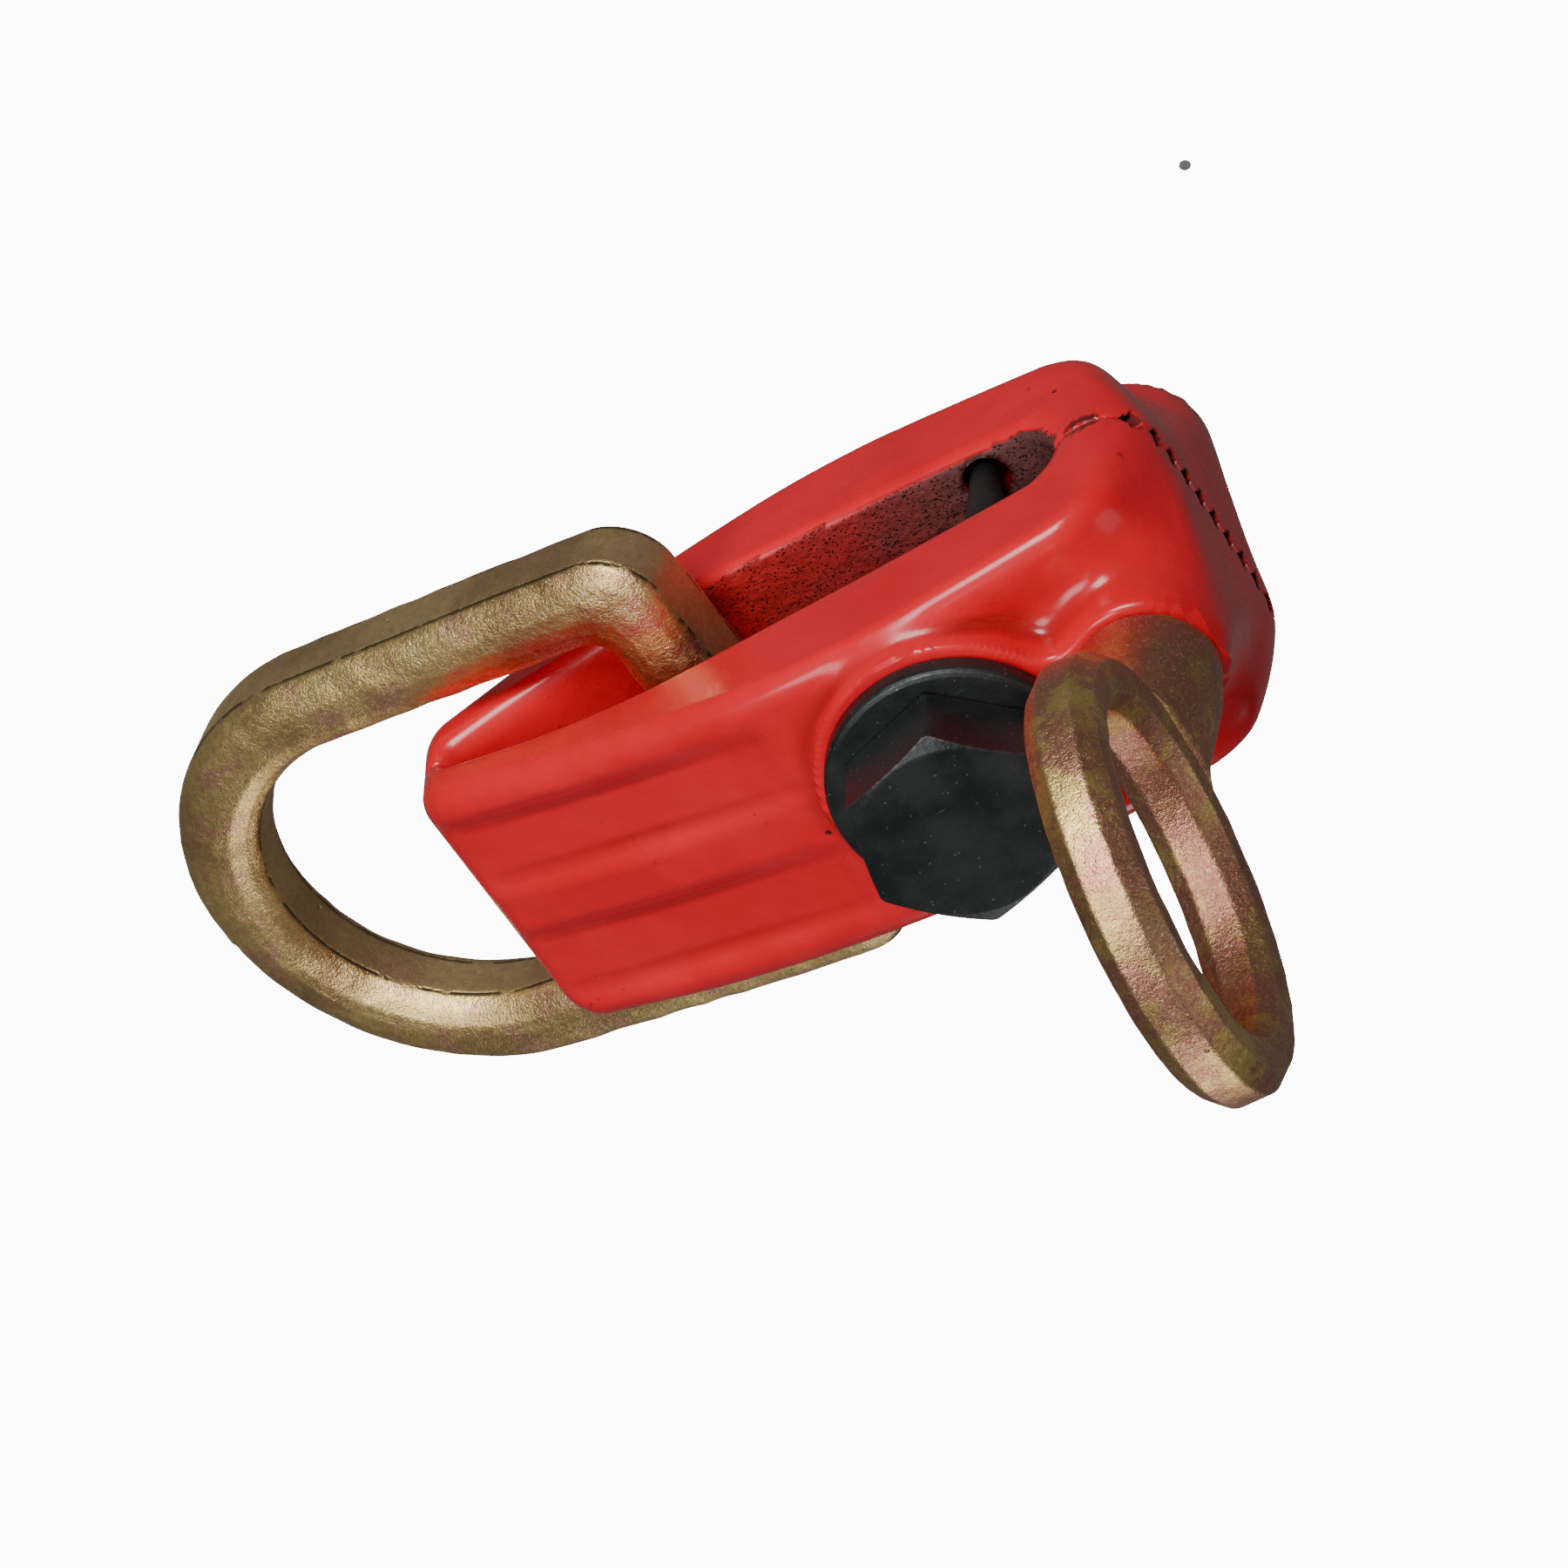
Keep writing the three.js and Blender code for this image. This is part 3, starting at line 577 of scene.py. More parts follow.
def swell(points, size, amount, seed):
    """A slow unevenness: the sum of nine sine waves across the points, each with its own
    direction and phase drawn from the seed, wavelengths about the given size."""
    draw = np.random.default_rng(seed)
    way = draw.normal(size=(9, 3))
    way /= np.linalg.norm(way, axis=1, keepdims=True)
    pace = 2 * np.pi / (size * draw.uniform(0.6, 1.8, 9))
    phase = draw.uniform(0, 2 * np.pi, 9)
    return amount * np.sin(points @ (way * pace[:, None]).T + phase).sum(axis=-1) / 3


RING_HALF = 34.8
RING_ARM = 61.0
RING_BOW = 37.0
RING_WIDE = 14.2
RING_THICK = 15.8
RING_DROOP = math.radians(-16.8)
RING_YAW = math.radians(2.5)
RING_PLACE = np.array([-35.3, 2.2, -1.4])


def ring_line(grow, corner):
    """The pull ring's outline in its own plane: bar, corner, arm, half-ellipse bow, arm and
    corner, with the same number of points in each stretch whatever the growth."""
    half = RING_HALF + grow
    bar = np.linspace(-(half - corner), half - corner, 40, endpoint=False)
    bend = np.linspace(0, np.pi / 2, 18, endpoint=False)
    arm = np.linspace(grow - corner, -RING_ARM, 46, endpoint=False)
    bow = np.linspace(np.pi / 2, np.pi * 1.5, 120, endpoint=False)
    back = -RING_ARM + (grow - corner + RING_ARM) * np.linspace(0, 1, 46, endpoint=False)
    x = [grow + 0 * bar, grow - corner + corner * np.cos(bend), arm,
         -RING_ARM + (RING_BOW + grow) * np.cos(bow), back,
         grow - corner + corner * np.cos(-np.pi / 2 + bend)]
    y = [bar, half - corner + corner * np.sin(bend), half + 0 * arm,
         half * np.sin(bow), -half + 0 * back,
         -half + corner + corner * np.sin(-np.pi / 2 + bend)]
    return np.stack([np.concatenate(x), np.concatenate(y)], axis=1)


def pull_ring():
    """The ring's skin: at each step round, the section's width runs from the inner to the
    outer outline and its height stands square to the ring's plane. Inside and outside are
    flat trimmed bands with crisp edges, the cheeks between them are crowned, and the bow is
    a little slimmer than the bar."""
    outer = ring_line(RING_WIDE / 2, 10.0)
    inner = ring_line(-RING_WIDE / 2, 4.0)
    slim = np.clip((-20 - outer[:, :1]) / 40, 0, 1) * np.where(outer[:, 1:] < 0, 0.085, 0.05)
    outer = outer + (inner - outer) * slim
    section = closed_loop([
        (1.0, -0.52), (1.0, 0.52), (0.92, 0.66), (0.66, 0.85), (0.30, 0.96), (-0.06, 1.0),
        (-0.42, 0.95), (-0.74, 0.79), (-0.94, 0.58), (-1.0, 0.46), (-1.0, -0.46), (-0.94, -0.58),
        (-0.74, -0.79), (-0.42, -0.95), (-0.06, -1.0), (0.30, -0.96), (0.66, -0.85),
        (0.92, -0.66)], 0.075, 5, 4)
    share = (section[:, 0][None, :, None] + 1) / 2
    flat = inner[:, None] * (1 - share) + outer[:, None] * share
    lift = section[:, 1][None, :] * RING_THICK / 2 + 0 * flat[..., 0]
    points = np.concatenate([flat, lift[..., None]], axis=-1)
    middle = (inner + outer) / 2
    centre = np.concatenate([middle, np.zeros((len(middle), 1))], axis=1)[:, None]
    away = points - centre
    away /= np.linalg.norm(away, axis=-1, keepdims=True)
    band = np.clip((np.abs(section[:, 0]) - 0.97) / 0.03, 0, 1)[None, :, None]
    flash = np.exp(-((np.abs(section[:, 1]) - 0.52) / 0.035) ** 2) * (section[:, 0] > 0.9)
    flash += np.exp(-((np.abs(section[:, 1]) - 0.46) / 0.035) ** 2) * (section[:, 0] < -0.9)
    rough = swell(points, 14, 0.13, 5) + swell(points, 5, 0.05, 6)
    points = points - away * np.abs(rough)[..., None] * (1 - band * 0.85)
    x = points[..., 0] * math.cos(RING_YAW) - points[..., 1] * math.sin(RING_YAW)
    y = points[..., 0] * math.sin(RING_YAW) + points[..., 1] * math.cos(RING_YAW)
    z = points[..., 2]
    placed = RING_PLACE + np.stack([
        x * math.cos(RING_DROOP) + z * math.sin(RING_DROOP), y,
        -x * math.sin(RING_DROOP) + z * math.cos(RING_DROOP)], axis=-1)
    marks = {
        "band": np.broadcast_to(band[..., 0], points.shape[:2]).ravel(),
        "flash": np.broadcast_to(flash[None, :], points.shape[:2]).ravel()}
    return placed.reshape(-1, 3), grid_faces(len(outer), len(section), True, True), marks


EYE_TURN = math.radians(87)
EYE_Z = SEAT + 52.5
EYE_R = 29.25
EYE_WIDE = 9.5
EYE_THICK = 11.5
STEM_R = 11.0
STEM_FOOT_R = 8.0
STEM_ARC = 5.0


def eye_place(along, across, z):
    """Puts ring-plane, ring-normal and height coordinates in the clamp's, turned as the eye
    stands."""
    return np.stack([
        EYE_X + along * math.cos(EYE_TURN) - across * math.sin(EYE_TURN),
        along * math.sin(EYE_TURN) + across * math.cos(EYE_TURN), z + 0 * along], axis=-1)


def eye_ring():
    """The eye: a ten-cornered section with narrow ridges carried round a circle."""
    section = closed_loop([
        (1, -0.46), (1, 0.46), (0.46, 0.96), (-0.10, 1.0), (-0.60, 0.92), (-1, 0.44),
        (-1, -0.44), (-0.60, -0.92), (-0.10, -1.0), (0.46, -0.96)], 0.09, 5, 5)
    section = section * np.array([EYE_WIDE, EYE_THICK]) / 2
    t = np.linspace(0, 2 * np.pi, 200, endpoint=False)[:, None]
    r = EYE_R + section[:, 0][None, :]
    points = eye_place(r * np.cos(t), section[:, 1][None, :] + 0 * t, EYE_Z + r * np.sin(t))
    centre = eye_place(EYE_R * np.cos(t) + 0 * r, 0 * r, EYE_Z + EYE_R * np.sin(t) + 0 * r)
    away = points - centre
    away /= np.linalg.norm(away, axis=-1, keepdims=True)
    rough = np.abs(swell(points, 15, 0.10, 9) + swell(points, 5, 0.03, 10))
    points = points - away * rough[..., None]
    return points.reshape(-1, 3), grid_faces(len(t), len(section), True, True)


def eye_stem():
    """The stem: round at its foot; higher up it widens in the ring's plane along an arc that
    meets the ring's outside and thins across it, as a superellipse."""
    ring_r = EYE_R + EYE_WIDE / 2
    arc = STEM_ARC
    drop = math.sqrt((ring_r + arc) ** 2 - (STEM_R + arc) ** 2)
    arc_z = EYE_Z - drop
    meet_z = EYE_Z - drop * ring_r / (ring_r + arc)
    z = np.concatenate([
        [SEAT - 21.0], np.linspace(SEAT - 20.0, SEAT + 0.24, 12), [SEAT + 0.26],
        np.linspace(SEAT + 0.9, arc_z, 14), np.linspace(arc_z + 0.3, meet_z, 16),
        [meet_z + 2.0, meet_z + 3.2]])
    wide = np.where(
        z < arc_z, STEM_R,
        STEM_R + arc - np.sqrt(np.maximum(arc ** 2 - (z - arc_z) ** 2, 0)))
    wide = np.where(z > meet_z, np.where(z > meet_z + 3, 6.0, 10.0), wide)
    thin = np.interp(z, [SEAT, arc_z - 9, arc_z - 1, meet_z, meet_z + 3], [11.2, 10.8, 8.6, 6.4, 4.0])
    foot = z < SEAT + 0.25
    wide = np.where(foot, STEM_FOOT_R, np.where(z < SEAT + 0.5, STEM_R - 0.5, wide))
    thin = np.where(foot, STEM_FOOT_R, np.where(z < SEAT + 0.5, STEM_R - 0.5, thin))
    wide[0] = thin[0] = 7.0
    a = np.linspace(0, 2 * np.pi, 96, endpoint=False)
    power = np.interp(z, [SEAT, arc_z, meet_z], [1.0, 1.0, 0.86])[:, None]
    along = wide[:, None] * np.sign(np.cos(a)) * np.abs(np.cos(a)) ** power
    across = thin[:, None] * np.sign(np.sin(a)) * np.abs(np.sin(a)) ** power
    along = np.concatenate([0 * along[:1], along, 0 * along[:1]])
    across = np.concatenate([0 * across[:1], across, 0 * across[:1]])
    z = np.concatenate([z[:1], z, z[-1:]])
    points = eye_place(along, across, z[:, None] + 0 * along)
    return points.reshape(-1, 3), grid_faces(len(z), len(a), wrap_cols=True)


def join_solid(piece, solid):
    """Adds the (points, quads) solid to piece as one closed skin."""
    cut_holes(piece, [solid], "UNION")


# ---- shading helpers ----------------------------------------------------------------------
class Wires:
    """Short hand for a node tree: add(type, settings, inputs) makes a node and links or
    sets its inputs by name or number."""

    def __init__(self, tree):
        self.tree = tree

    def add(self, kind, inputs=None, **settings):
        node = self.tree.nodes.new(kind)
        for name, value in settings.items():
            setattr(node, name, value)
        for key, value in (inputs or {}).items():
            if isinstance(value, bpy.types.NodeSocket):
                self.tree.links.new(value, node.inputs[key])
            else:
                node.inputs[key].default_value = value
        return node

    def noise(self, where, scale, detail=3.0, rough=0.55):
        node = self.add("ShaderNodeTexNoise", {
            "Vector": where, "Scale": scale, "Detail": detail, "Roughness": rough})
        return node.outputs["Fac"]

    def math(self, operation, a, b=0.0, clamp=False):
        node = self.add("ShaderNodeMath", {0: a, 1: b}, operation=operation, use_clamp=clamp)
        return node.outputs[0]

    def span(self, value, low, high, to_low=0.0, to_high=1.0):
        node = self.add("ShaderNodeMapRange", {
            "Value": value, "From Min": low, "From Max": high, "To Min": to_low, "To Max": to_high})
        node.interpolation_type = "SMOOTHSTEP"
        return node.outputs["Result"]

    def mix(self, fac, a, b):
        node = self.add("ShaderNodeMix", {0: fac, 6: a, 7: b}, data_type="RGBA")
        return node.outputs[2]


def colour(r, g, b):
    return (r, g, b, 1.0)


def new_group(name, inputs, outputs):
    """An empty shader group with number inputs {name: default} and outputs {name: type}."""
    tree = bpy.data.node_groups.new(name, "ShaderNodeTree")
    for label, default in inputs.items():
        socket = tree.interface.new_socket(
            name=label, in_out="INPUT", socket_type="NodeSocketFloat")
        socket.default_value = default
    for label, kind in outputs.items():
        tree.interface.new_socket(name=label, in_out="OUTPUT", socket_type=kind)
    wires = Wires(tree)
    return wires, wires.add("NodeGroupInput").outputs, wires.add("NodeGroupOutput")


def build_edge_rub():
    """Mask of rubbed outer edges: the bend attribute over a level, broken up by noise. The
    second output is a mask of the inner bends, used to paint shade into them."""
    w, inn, out = new_group(
        "edge_rub", {"Level": 0.25, "Soft": 0.15, "Breakup": 0.5, "Scale": 300.0},
        {"Mask": "NodeSocketFloat", "Hollow_shade": "NodeSocketFloat"})
    where = w.add("ShaderNodeTexCoord").outputs["Object"]
    bend = w.add("ShaderNodeAttribute", attribute_name="bend").outputs["Fac"]
    noise = w.noise(where, inn["Scale"], 4.0, 0.65)
    shifted = w.math("ADD", bend, w.math("MULTIPLY", w.math("SUBTRACT", noise, 0.5), inn["Breakup"]))
    over = w.math("DIVIDE", w.math("SUBTRACT", shifted, inn["Level"]), inn["Soft"], True)
    hollow_shade = w.math("MULTIPLY", bend, -4.0, True)
    w.tree.links.new(over, out.inputs["Mask"])
    w.tree.links.new(hollow_shade, out.inputs["Hollow_shade"])
    return w.tree


def build_pits():
    """Small scattered pits: cells of a size whose random number passes a share, each a
    round dent; Mask is 1 in the pit and Height falls towards its middle."""
    w, inn, out = new_group(
        "pits", {"Scale": 400.0, "Share": 0.2, "Size": 0.3},
        {"Mask": "NodeSocketFloat", "Height": "NodeSocketFloat"})
    where = w.add("ShaderNodeTexCoord").outputs["Object"]
    cells = w.add("ShaderNodeTexVoronoi", {"Vector": where, "Scale": inn["Scale"]})
    pick = w.add("ShaderNodeSeparateColor", {0: cells.outputs["Color"]}).outputs[0]
    chosen = w.math("LESS_THAN", pick, inn["Share"])
    reach = w.math("DIVIDE", cells.outputs["Distance"], inn["Size"])
    dent = w.math("SUBTRACT", 1.0, reach, True)
    mask = w.math("MULTIPLY", w.math("MULTIPLY", dent, 3.0, True), chosen)
    w.tree.links.new(mask, out.inputs["Mask"])
    w.tree.links.new(w.math("MULTIPLY", dent, w.math("MULTIPLY", chosen, -1.0)), out.inputs["Height"])
    return w.tree


def build_grain():
    """Two sizes of grain as a height, and a slow patchiness for colour and roughness."""
    w, inn, out = new_group(
        "grain", {"Fine": 1400.0, "Coarse": 220.0, "Patch": 60.0, "Blend": 0.5},
        {"Height": "NodeSocketFloat", "Patch": "NodeSocketFloat", "Speck": "NodeSocketFloat"})
    where = w.add("ShaderNodeTexCoord").outputs["Object"]
    fine = w.noise(where, inn["Fine"], 3.0, 0.6)
    coarse = w.noise(where, inn["Coarse"], 3.0, 0.5)
    height = w.math("ADD", w.math("MULTIPLY", fine, inn["Blend"]), coarse)
    w.tree.links.new(height, out.inputs["Height"])
    w.tree.links.new(w.span(w.noise(where, inn["Patch"], 4.0, 0.6), 0.35, 0.65), out.inputs["Patch"])
    w.tree.links.new(w.span(fine, 0.55, 0.75), out.inputs["Speck"])
    return w.tree


EDGE_RUB = build_edge_rub()
PITS = build_pits()
GRAIN = build_grain()


def new_material(name, **constants):
    """A material with one Principled shader whose plain values are set on its sockets."""
    material = bpy.data.materials.new(name)
    material.use_nodes = True
    shader = material.node_tree.nodes["Principled BSDF"]
    for label, value in constants.items():
        shader.inputs[label.replace("_", " ")].default_value = value
    wires = Wires(material.node_tree)
    where = wires.add("ShaderNodeTexCoord").outputs["Object"]
    return material, wires, shader, where


def use_group(w, tree, **inputs):
    return w.add("ShaderNodeGroup", inputs, node_tree=tree).outputs


def feed(w, shader, **links):
    for label, value in links.items():
        w.tree.links.new(value, shader.inputs[label.replace("_", " ")])


def bumps(w, *layers):
    """Bump nodes in a chain from (height, distance in metres) pairs; gives the normal."""
    normal = None
    for height, distance in layers:
        inputs = {"Height": height, "Distance": distance, "Strength": 1.0}
        if normal is not None:
            inputs["Normal"] = normal
        normal = w.add("ShaderNodeBump", inputs).outputs["Normal"]
    return normal


def red_enamel():
    """Thick glossy enamel over a rough forging: painted shade darkens the inner bends, it is
    thinner and paler on the ridges, with pinholes and scuffs; inside the slot it is thin over
    uncoated dark scale, darkened inwards by painted shade, and the tooth notches and drilled
    holes are darkened by painted shade."""
    m, w, s, where = new_material(
        "red_enamel", Coat_Roughness=0.19, Coat_IOR=1.36, Specular_IOR_Level=0.12)
    grain = use_group(w, GRAIN, Fine=900.0, Coarse=170.0, Patch=45.0, Blend=0.25)
    rub = use_group(w, EDGE_RUB, Level=0.55, Soft=0.2, Breakup=0.9, Scale=420.0)
    pinholes = use_group(w, PITS, Scale=230.0, Share=0.035, Size=0.13)
    scale_pits = use_group(w, PITS, Scale=2300.0, Share=0.34, Size=0.45)
    inside = w.add("ShaderNodeAttribute", attribute_name="inside").outputs["Fac"]
    place = w.add("ShaderNodeSeparateXYZ", {0: where}).outputs
    tone = w.mix(grain["Patch"], colour(0.68, 0.006, 0.016), colour(0.76, 0.009, 0.021))
    # painted shade: the inner bends are darkened towards a deep red
    tone = w.mix(w.math("MULTIPLY", rub["Hollow_shade"], 0.75), tone, colour(0.26, 0.006, 0.006))
    scuff_noise = w.noise(where, 240.0, 5.0, 0.7)
    slow = w.noise(where, 38.0, 2.0, 0.5)
    scuff = w.math("MULTIPLY", w.span(scuff_noise, 0.62, 0.70), w.span(slow, 0.52, 0.62))
    tone = w.mix(w.math("MULTIPLY", scuff, 0.55), tone, colour(0.16, 0.012, 0.012))
    tone = w.mix(w.math("MULTIPLY", pinholes["Mask"], 0.9), tone, colour(0.03, 0.006, 0.006))
    tone = w.mix(rub["Mask"], tone, colour(0.055, 0.045, 0.042))
    # inside the slot the enamel is thin, over dark scale pits, and painted shade darkens it from the heel
    # inwards; towards the bolt it goes near black, partly uncoated forging and partly painted shade
    along = w.math("ADD", place["X"], w.math("MULTIPLY", w.noise(where, 130.0, 4.0, 0.7), 0.03))
    bare_and_deep_shade = w.span(along, -0.052, -0.012)
    shaded = w.span(along, -0.088, -0.050)
    slot_tone = w.mix(w.noise(where, 150.0, 5.0, 0.7), colour(0.24, 0.010, 0.012), colour(0.48, 0.020, 0.020))
    slot_tone = w.mix(w.math("MULTIPLY", bare_and_deep_shade, 0.85), slot_tone, colour(0.075, 0.045, 0.042))
    slot_tone = w.mix(w.math("MULTIPLY", scale_pits["Mask"], 0.8), slot_tone, colour(0.012, 0.009, 0.009))
    within = w.math("MULTIPLY", inside, shaded)
    tone = w.mix(within, tone, slot_tone)
    # painted shade: the tooth notches and the drilled holes' walls are darkened nearly to black
    notch = w.add("ShaderNodeAttribute", attribute_name="notch").outputs["Fac"]
    tone = w.mix(w.math("MULTIPLY", notch, 0.9), tone, colour(0.05, 0.008, 0.007))
    rough = w.span(w.math("ADD", grain["Patch"], scuff), 0.0, 1.6, 0.30, 0.55)
    rough = w.math("MAXIMUM", rough, w.math("MULTIPLY", within, 0.62))
    covered = w.math("SUBTRACT", 1.0, w.math("MAXIMUM", w.math("MULTIPLY", within, 0.85), rub["Mask"]), True)
    covered = w.math("MULTIPLY", covered, w.math("SUBTRACT", 1.0, w.math("MULTIPLY", inside, 0.6)))
    lumps = w.noise(where, 75.0, 2.0, 0.5)
    rough_height = w.math("MULTIPLY", w.noise(where, 420.0, 4.0, 0.65), within)
    feed(w, s, Base_Color=tone, Roughness=rough, Coat_Weight=covered,
         Normal=bumps(
             w, (lumps, 0.0008), (grain["Height"], 0.00016), (rough_height, 0.0009),
             (w.math("MULTIPLY", scale_pits["Height"], within), 0.0006), (pinholes["Height"], 0.0005)))
    return m


def yellow_zinc(name, dull, gold, rose, share):
    """Forged steel under a yellow passivated zinc coat: gold, olive, rose and green drift
    over a grainy skin; trimmed bands have a finer, duller brushing and a darker brown that is
    partly their finish and partly painted shade, with a dark flash line.
    A larger share gives more rose and less olive."""
    m, w, s, where = new_material(name, Specular_IOR_Level=0.5)
    grain = use_group(w, GRAIN, Fine=2300.0, Coarse=900.0, Patch=70.0, Blend=0.8)
    rub = use_group(w, EDGE_RUB, Level=0.26, Soft=0.25, Breakup=0.35, Scale=400.0)
    nicks = use_group(w, PITS, Scale=420.0, Share=0.012, Size=0.20)
    band = w.add("ShaderNodeAttribute", attribute_name="band").outputs["Fac"]
    flash = w.add("ShaderNodeAttribute", attribute_name="flash").outputs["Fac"]
    drift = w.noise(where, 42.0, 5.0, 0.65)
    tint = w.noise(where, 110.0, 6.0, 0.75)
    tone = w.mix(w.span(drift, 0.36, 0.64), dull, gold)
    tone = w.mix(w.math("MULTIPLY", w.span(tint, 0.56 - share / 5, 0.64 - share / 5), 0.8), tone, rose)
    olive = w.math("MULTIPLY", w.span(tint, 0.44, 0.36), 0.4 - share / 2)
    tone = w.mix(olive, tone, colour(0.56, 0.54, 0.26))
    tone = w.mix(w.math("MULTIPLY", grain["Speck"], 0.5), tone, colour(0.20, 0.12, 0.08))
    pale = w.span(w.noise(where, 1900.0, 2.0, 0.5), 0.58, 0.70)
    tone = w.mix(w.math("MULTIPLY", pale, 0.5), tone, colour(0.95, 0.84, 0.62))
    tone = w.mix(w.math("MULTIPLY", nicks["Mask"], 0.7), tone, colour(0.10, 0.07, 0.05))
    # trimmed bands: a finer, duller finish, and a darker brown that is partly painted shade on faces turned
    # from the light
    band_finish_and_shade = w.mix(w.span(drift, 0.38, 0.62), colour(0.52, 0.36, 0.19), colour(0.68, 0.50, 0.27))
    tone = w.mix(w.math("MULTIPLY", band, 0.65), tone, band_finish_and_shade)
    tone = w.mix(w.math("MULTIPLY", rub["Mask"], 0.35), tone, colour(0.95, 0.80, 0.50))
    broken = w.span(w.noise(where, 160.0, 3.0, 0.6), 0.40, 0.50)
    line = w.math("MULTIPLY", flash, broken)
    tone = w.mix(w.math("MULTIPLY", line, 0.92), tone, colour(0.035, 0.022, 0.016))
    rough = w.span(w.math("ADD", grain["Height"], w.math("MULTIPLY", band, 0.4)), 0.5, 1.5, 0.26, 0.50)
    skin = w.math("MULTIPLY", grain["Height"], w.math("SUBTRACT", 1.0, w.math("MULTIPLY", band, 0.6)))
    feed(w, s, Base_Color=tone, Roughness=rough,
         Normal=bumps(w, (w.noise(where, 260.0, 2.0, 0.5), 0.00010), (skin, 0.00012),
                      (w.noise(where, 3200.0, 2.0, 0.6), 0.00010),
                      (nicks["Height"], 0.0003), (line, -0.0002)))
    s.inputs["Metallic"].default_value = 1.0
    return m


def black_oxide():
    """Blackened steel: near black, rubbed grey at the edges, with grey flecks and fine
    crossing scratches."""
    m, w, s, where = new_material("black_oxide", Specular_IOR_Level=0.6)
    grain = use_group(w, GRAIN, Fine=1800.0, Coarse=420.0, Patch=90.0, Blend=0.6)
    rub = use_group(w, EDGE_RUB, Level=0.42, Soft=0.35, Breakup=1.0, Scale=700.0)
    flecks = use_group(w, PITS, Scale=1500.0, Share=0.05, Size=0.30)
    tone = w.mix(grain["Patch"], colour(0.018, 0.020, 0.021), colour(0.032, 0.035, 0.036))
    one_way, other_way = (
        w.noise(w.add("ShaderNodeMapping", {
            "Vector": where, "Rotation": rotation, "Scale": scale}).outputs[0], 1.0, 2.0, 0.5)
        for rotation, scale in (
            ((0.3, 0.2, 0.7), (60, 2600, 900)), ((0.1, 0.4, -0.5), (2200, 70, 900))))
    lines = w.math("MAXIMUM", one_way, other_way)
    where_worn = w.span(w.noise(where, 120.0, 2.0, 0.5), 0.45, 0.60)
    scratches = w.math("MULTIPLY", w.span(lines, 0.70, 0.80), where_worn)
    tone = w.mix(w.math("MULTIPLY", scratches, 0.6), tone, colour(0.20, 0.20, 0.19))
    tone = w.mix(w.math("MULTIPLY", flecks["Mask"], 0.5), tone, colour(0.22, 0.22, 0.21))
    tone = w.mix(w.math("MULTIPLY", rub["Mask"], 0.6), tone, colour(0.16, 0.16, 0.155))
    worn = w.math("MAXIMUM", rub["Mask"], scratches)
    feed(w, s, Base_Color=tone, Metallic=w.span(worn, 0.0, 1.0, 0.55, 1.0),
         Roughness=w.span(
             w.math("ADD", grain["Patch"], w.math("MULTIPLY", worn, -0.5)), -0.5, 1.0, 0.28, 0.46),
         Normal=bumps(w, (grain["Height"], 0.00009), (scratches, -0.00003)))
    return m


def spring_steel():
    """Drawn wire, oil-tempered: grey in slow patches, with fine dark specks and rubbed ridges."""
    m, w, s, where = new_material("spring_steel", Specular_IOR_Level=0.5)
    grain = use_group(w, GRAIN, Fine=1600.0, Coarse=380.0, Patch=140.0, Blend=0.5)
    rub = use_group(w, EDGE_RUB, Level=0.75, Soft=0.2, Breakup=0.5, Scale=500.0)
    tone = w.mix(grain["Patch"], colour(0.10, 0.095, 0.09), colour(0.24, 0.23, 0.22))
    tone = w.mix(w.math("MULTIPLY", grain["Speck"], 0.5), tone, colour(0.07, 0.05, 0.04))
    tone = w.mix(w.math("MULTIPLY", rub["Mask"], 0.5), tone, colour(0.4, 0.39, 0.38))
    feed(w, s, Base_Color=tone, Roughness=w.span(grain["Height"], 0.4, 1.2, 0.28, 0.48),
         Normal=bumps(w, (grain["Height"], 0.00008)))
    s.inputs["Metallic"].default_value = 0.95
    return m


def matte_floor():
    """A pale sheet, lit evenly from behind where it is looked at directly."""
    m, w, s, where = new_material("pale_floor", Roughness=0.9, Specular_IOR_Level=0.1)
    tone = w.mix(w.noise(where, 6.0, 3.0, 0.5), colour(0.13, 0.13, 0.13), colour(0.15, 0.15, 0.15))
    feed(w, s, Base_Color=tone)
    glow = w.add("ShaderNodeEmission", {"Color": colour(1.0, 1.0, 1.0), "Strength": 13.0})
    seen = w.add("ShaderNodeLightPath").outputs["Is Camera Ray"]
    both = w.add("ShaderNodeMixShader", {
        0: w.math("MULTIPLY", seen, 0.92), 1: s.outputs[0], 2: glow.outputs[0]})
    w.tree.links.new(both.outputs[0], w.tree.nodes["Material Output"].inputs["Surface"])
    return m


# ---- camera, floor and light ----------------------------------------------------------------
def place_camera():
    """A long lens above and beside the clamp; the picture's up side points down the bolt."""
    right = np.array([0.853, -0.523, -0.003])
    up = np.array([0.431, 0.707, -0.561])
    back = np.cross(right, up)
    back /= np.linalg.norm(back)
    up = np.cross(back, right)
    up /= np.linalg.norm(up)
    right = np.cross(up, back)
    lens = bpy.data.cameras.new("camera")
    lens.sensor_width = 36.0
    lens.lens = 166.72
    lens.clip_end = 20.0
    camera = bpy.data.objects.new("camera", lens)
    place = (right * -25.99 + up * -20.09 + back * 1100.0) + np.array([AXIS_X, 0, 0])
    matrix = np.eye(4)
    matrix[:3, 0], matrix[:3, 1], matrix[:3, 2], matrix[:3, 3] = right, up, back, place * MM
    camera.matrix_world = Matrix(matrix.tolist())
    bpy.context.scene.collection.objects.link(camera)
    bpy.context.scene.camera = camera


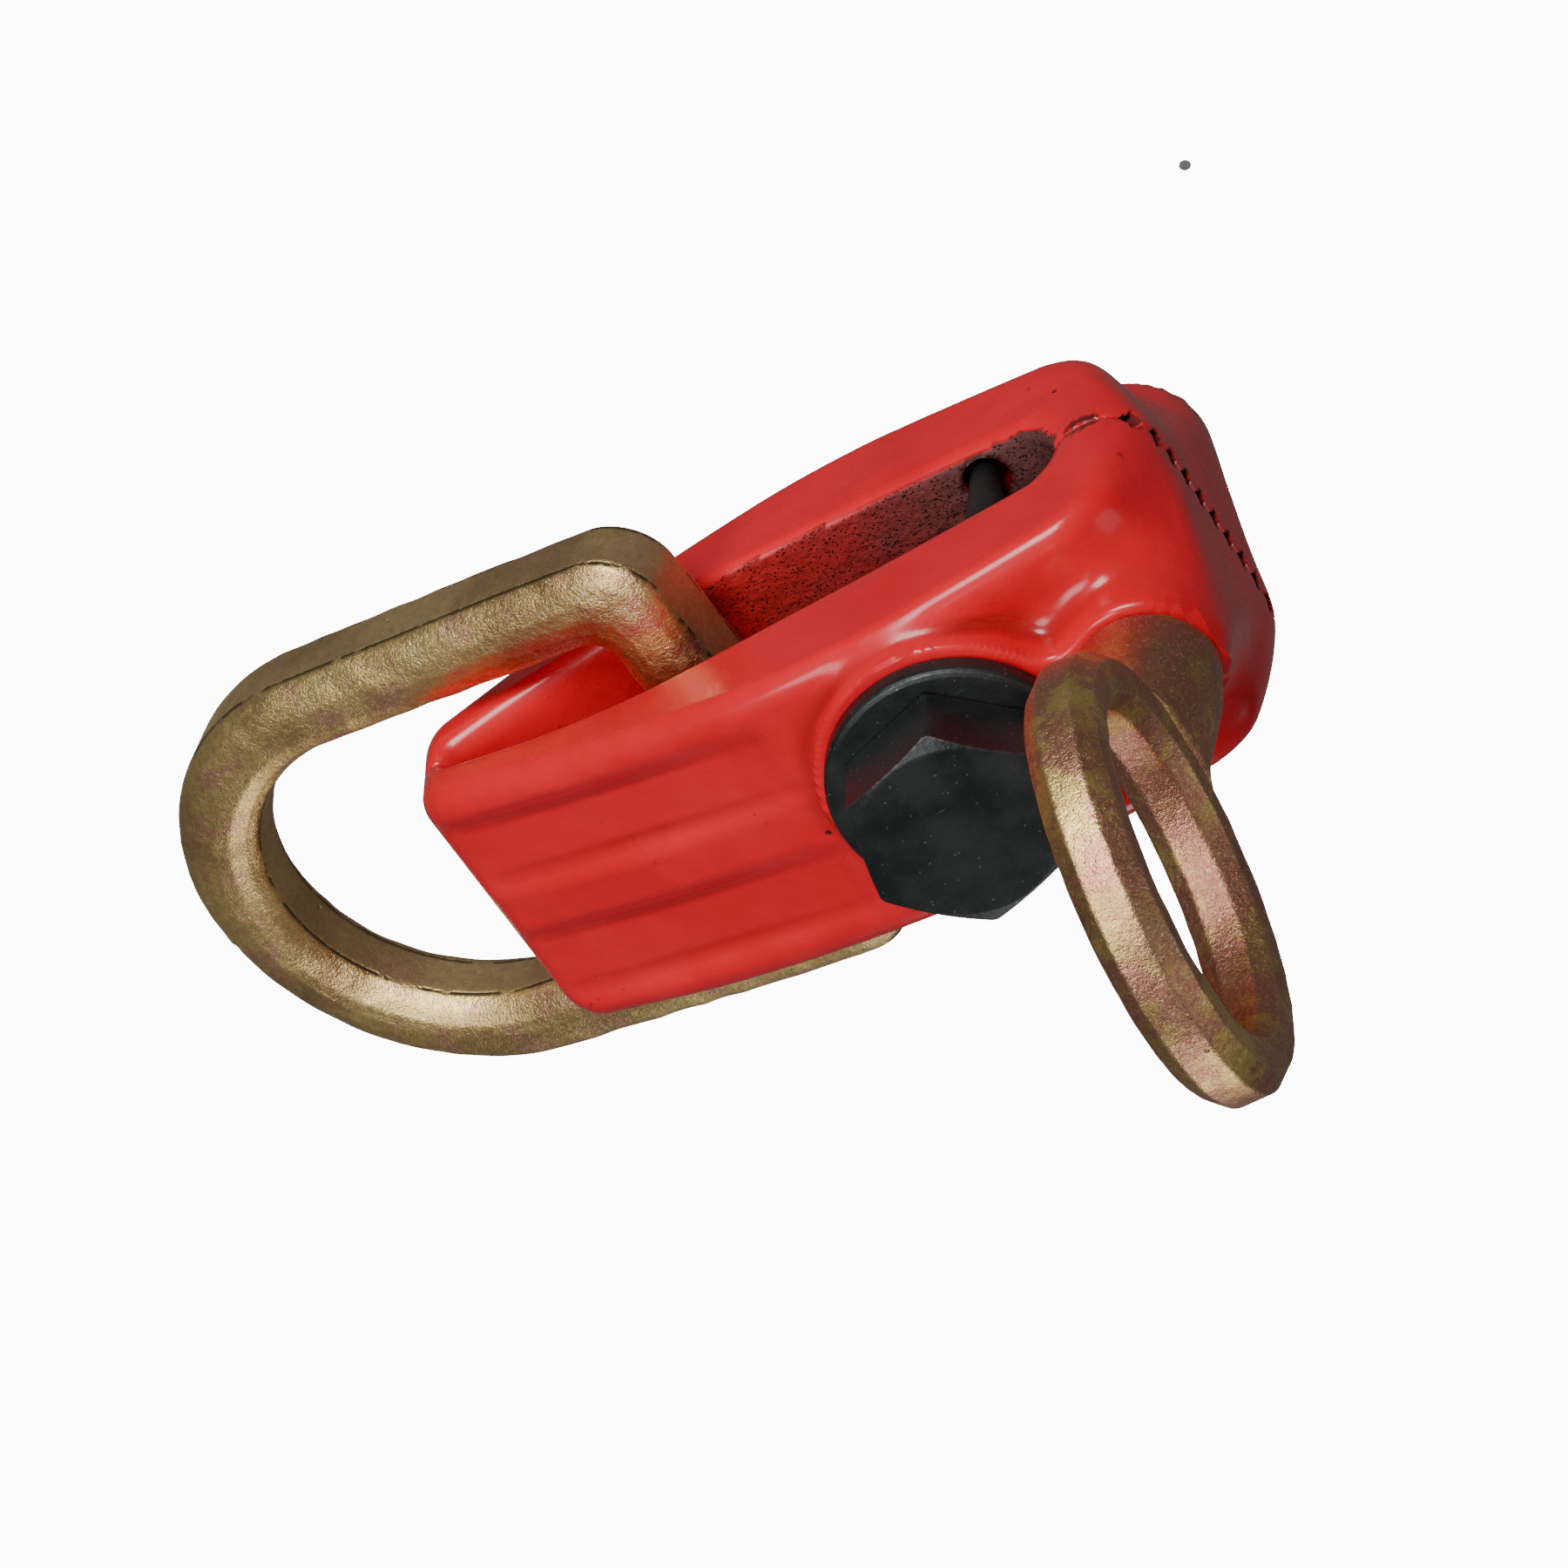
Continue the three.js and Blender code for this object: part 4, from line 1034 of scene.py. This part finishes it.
def soft_box(name, place, size, power):
    """A square area light at place, in metres from the clamp's middle, facing it."""
    light = bpy.data.lights.new(name, "AREA")
    light.size = size
    light.energy = power
    lamp = bpy.data.objects.new(name, light)
    middle = Vector((AXIS_X * MM, 0, 0))
    lamp.location = middle + Vector(place)
    lamp.rotation_euler = (middle - lamp.location).to_track_quat("-Z", "Y").to_euler()
    bpy.context.scene.collection.objects.link(lamp)


FLOOR_Z = -0.108


def lay_floor():
    """A round sheet below everything the pulls can reach, its middle under the teeth."""
    a = np.linspace(0, 2 * np.pi, 96, endpoint=False)
    r = np.array([0.001, 0.6, 2.0, 6.0])[:, None]
    points = np.stack([r * np.cos(a), r * np.sin(a), FLOOR_Z + 0 * r * a], axis=-1).reshape(-1, 3)
    mesh = bpy.data.meshes.new("floor")
    mesh.from_pydata(points.tolist(), [], grid_faces(4, 96, wrap_cols=True)[:, ::-1].tolist())
    floor = bpy.data.objects.new("floor", mesh)
    bpy.context.scene.collection.objects.link(floor)
    mesh.materials.append(matte_floor())


place_camera()
lay_floor()
soft_box("key", (0.10, 1.20, 0.75), 0.50, 17)
soft_box("top", (-0.40, 0.55, 1.25), 0.50, 7.5)
soft_box("fill", (1.1, -0.5, 0.5), 0.60, 1.2)
soft_box("rear", (-0.3, -1.3, 0.5), 0.5, 4)
world = bpy.data.worlds.new("studio")
bpy.context.scene.world = world
world.use_nodes = True
world.node_tree.nodes["Background"].inputs["Color"].default_value = colour(1.0, 1.0, 1.0)
world.node_tree.nodes["Background"].inputs["Strength"].default_value = 0.16

# ---- the pieces ---------------------------------------------------------------------------------
ENAMEL = red_enamel()
ZINC = yellow_zinc(
    "yellow_zinc", colour(0.66, 0.42, 0.18), colour(1.0, 0.72, 0.28), colour(0.86, 0.44, 0.30), 0.25)
ROSE_ZINC = yellow_zinc(
    "rose_zinc", colour(0.50, 0.23, 0.14), colour(0.90, 0.62, 0.20), colour(0.62, 0.25, 0.19), 0.55)
OXIDE = black_oxide()
SPRING = spring_steel()

upper, lower = make_jaws()
screw = make_piece("bolt_and_head", *clamp_screw(), "clamp_bolt", ["clamp_bolt"])
head_z = HEAD_TOP - HEAD_HEIGHT
top_washer = make_piece(
    "upper_washer", *washer_ring(head_z - 4.15, head_z - 0.25), "clamp_bolt", ["head_washer"])
pin_left = make_piece("taper_pin_left", *taper_pin(PIN_PLACE[1]), "upper_jaw", ["guide_pin_left"])
pin_right = make_piece("taper_pin_right", *taper_pin(-PIN_PLACE[1]), "upper_jaw", ["guide_pin_right"])
ring_points, ring_quads, ring_marks = pull_ring()
ring = make_piece("pull_ring", ring_points, ring_quads, "d_ring", ["d_ring"], marks=ring_marks)
eye = make_piece("swivel_eye", *eye_stem(), "eye_bolt", ["eye_bolt"])
join_solid(eye, eye_ring())
coil = make_piece("coil_spring", *spring_wire(), None, ["opening_spring"])

for piece, finish, slot in (
        (upper, ENAMEL, "jaw_paint"), (lower, ENAMEL, "jaw_paint"), (screw, OXIDE, "black_oxide"),
        (top_washer, OXIDE, "black_oxide"),
        (pin_left, OXIDE, "black_oxide"), (pin_right, OXIDE, "black_oxide"),
        (ring, ZINC, "yellow_zinc"), (eye, ROSE_ZINC, "yellow_zinc"), (coil, SPRING, "spring_steel")):
    mark_bend(piece)
    piece.data.materials.clear()
    piece.data.materials.append(finish)

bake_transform(coil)
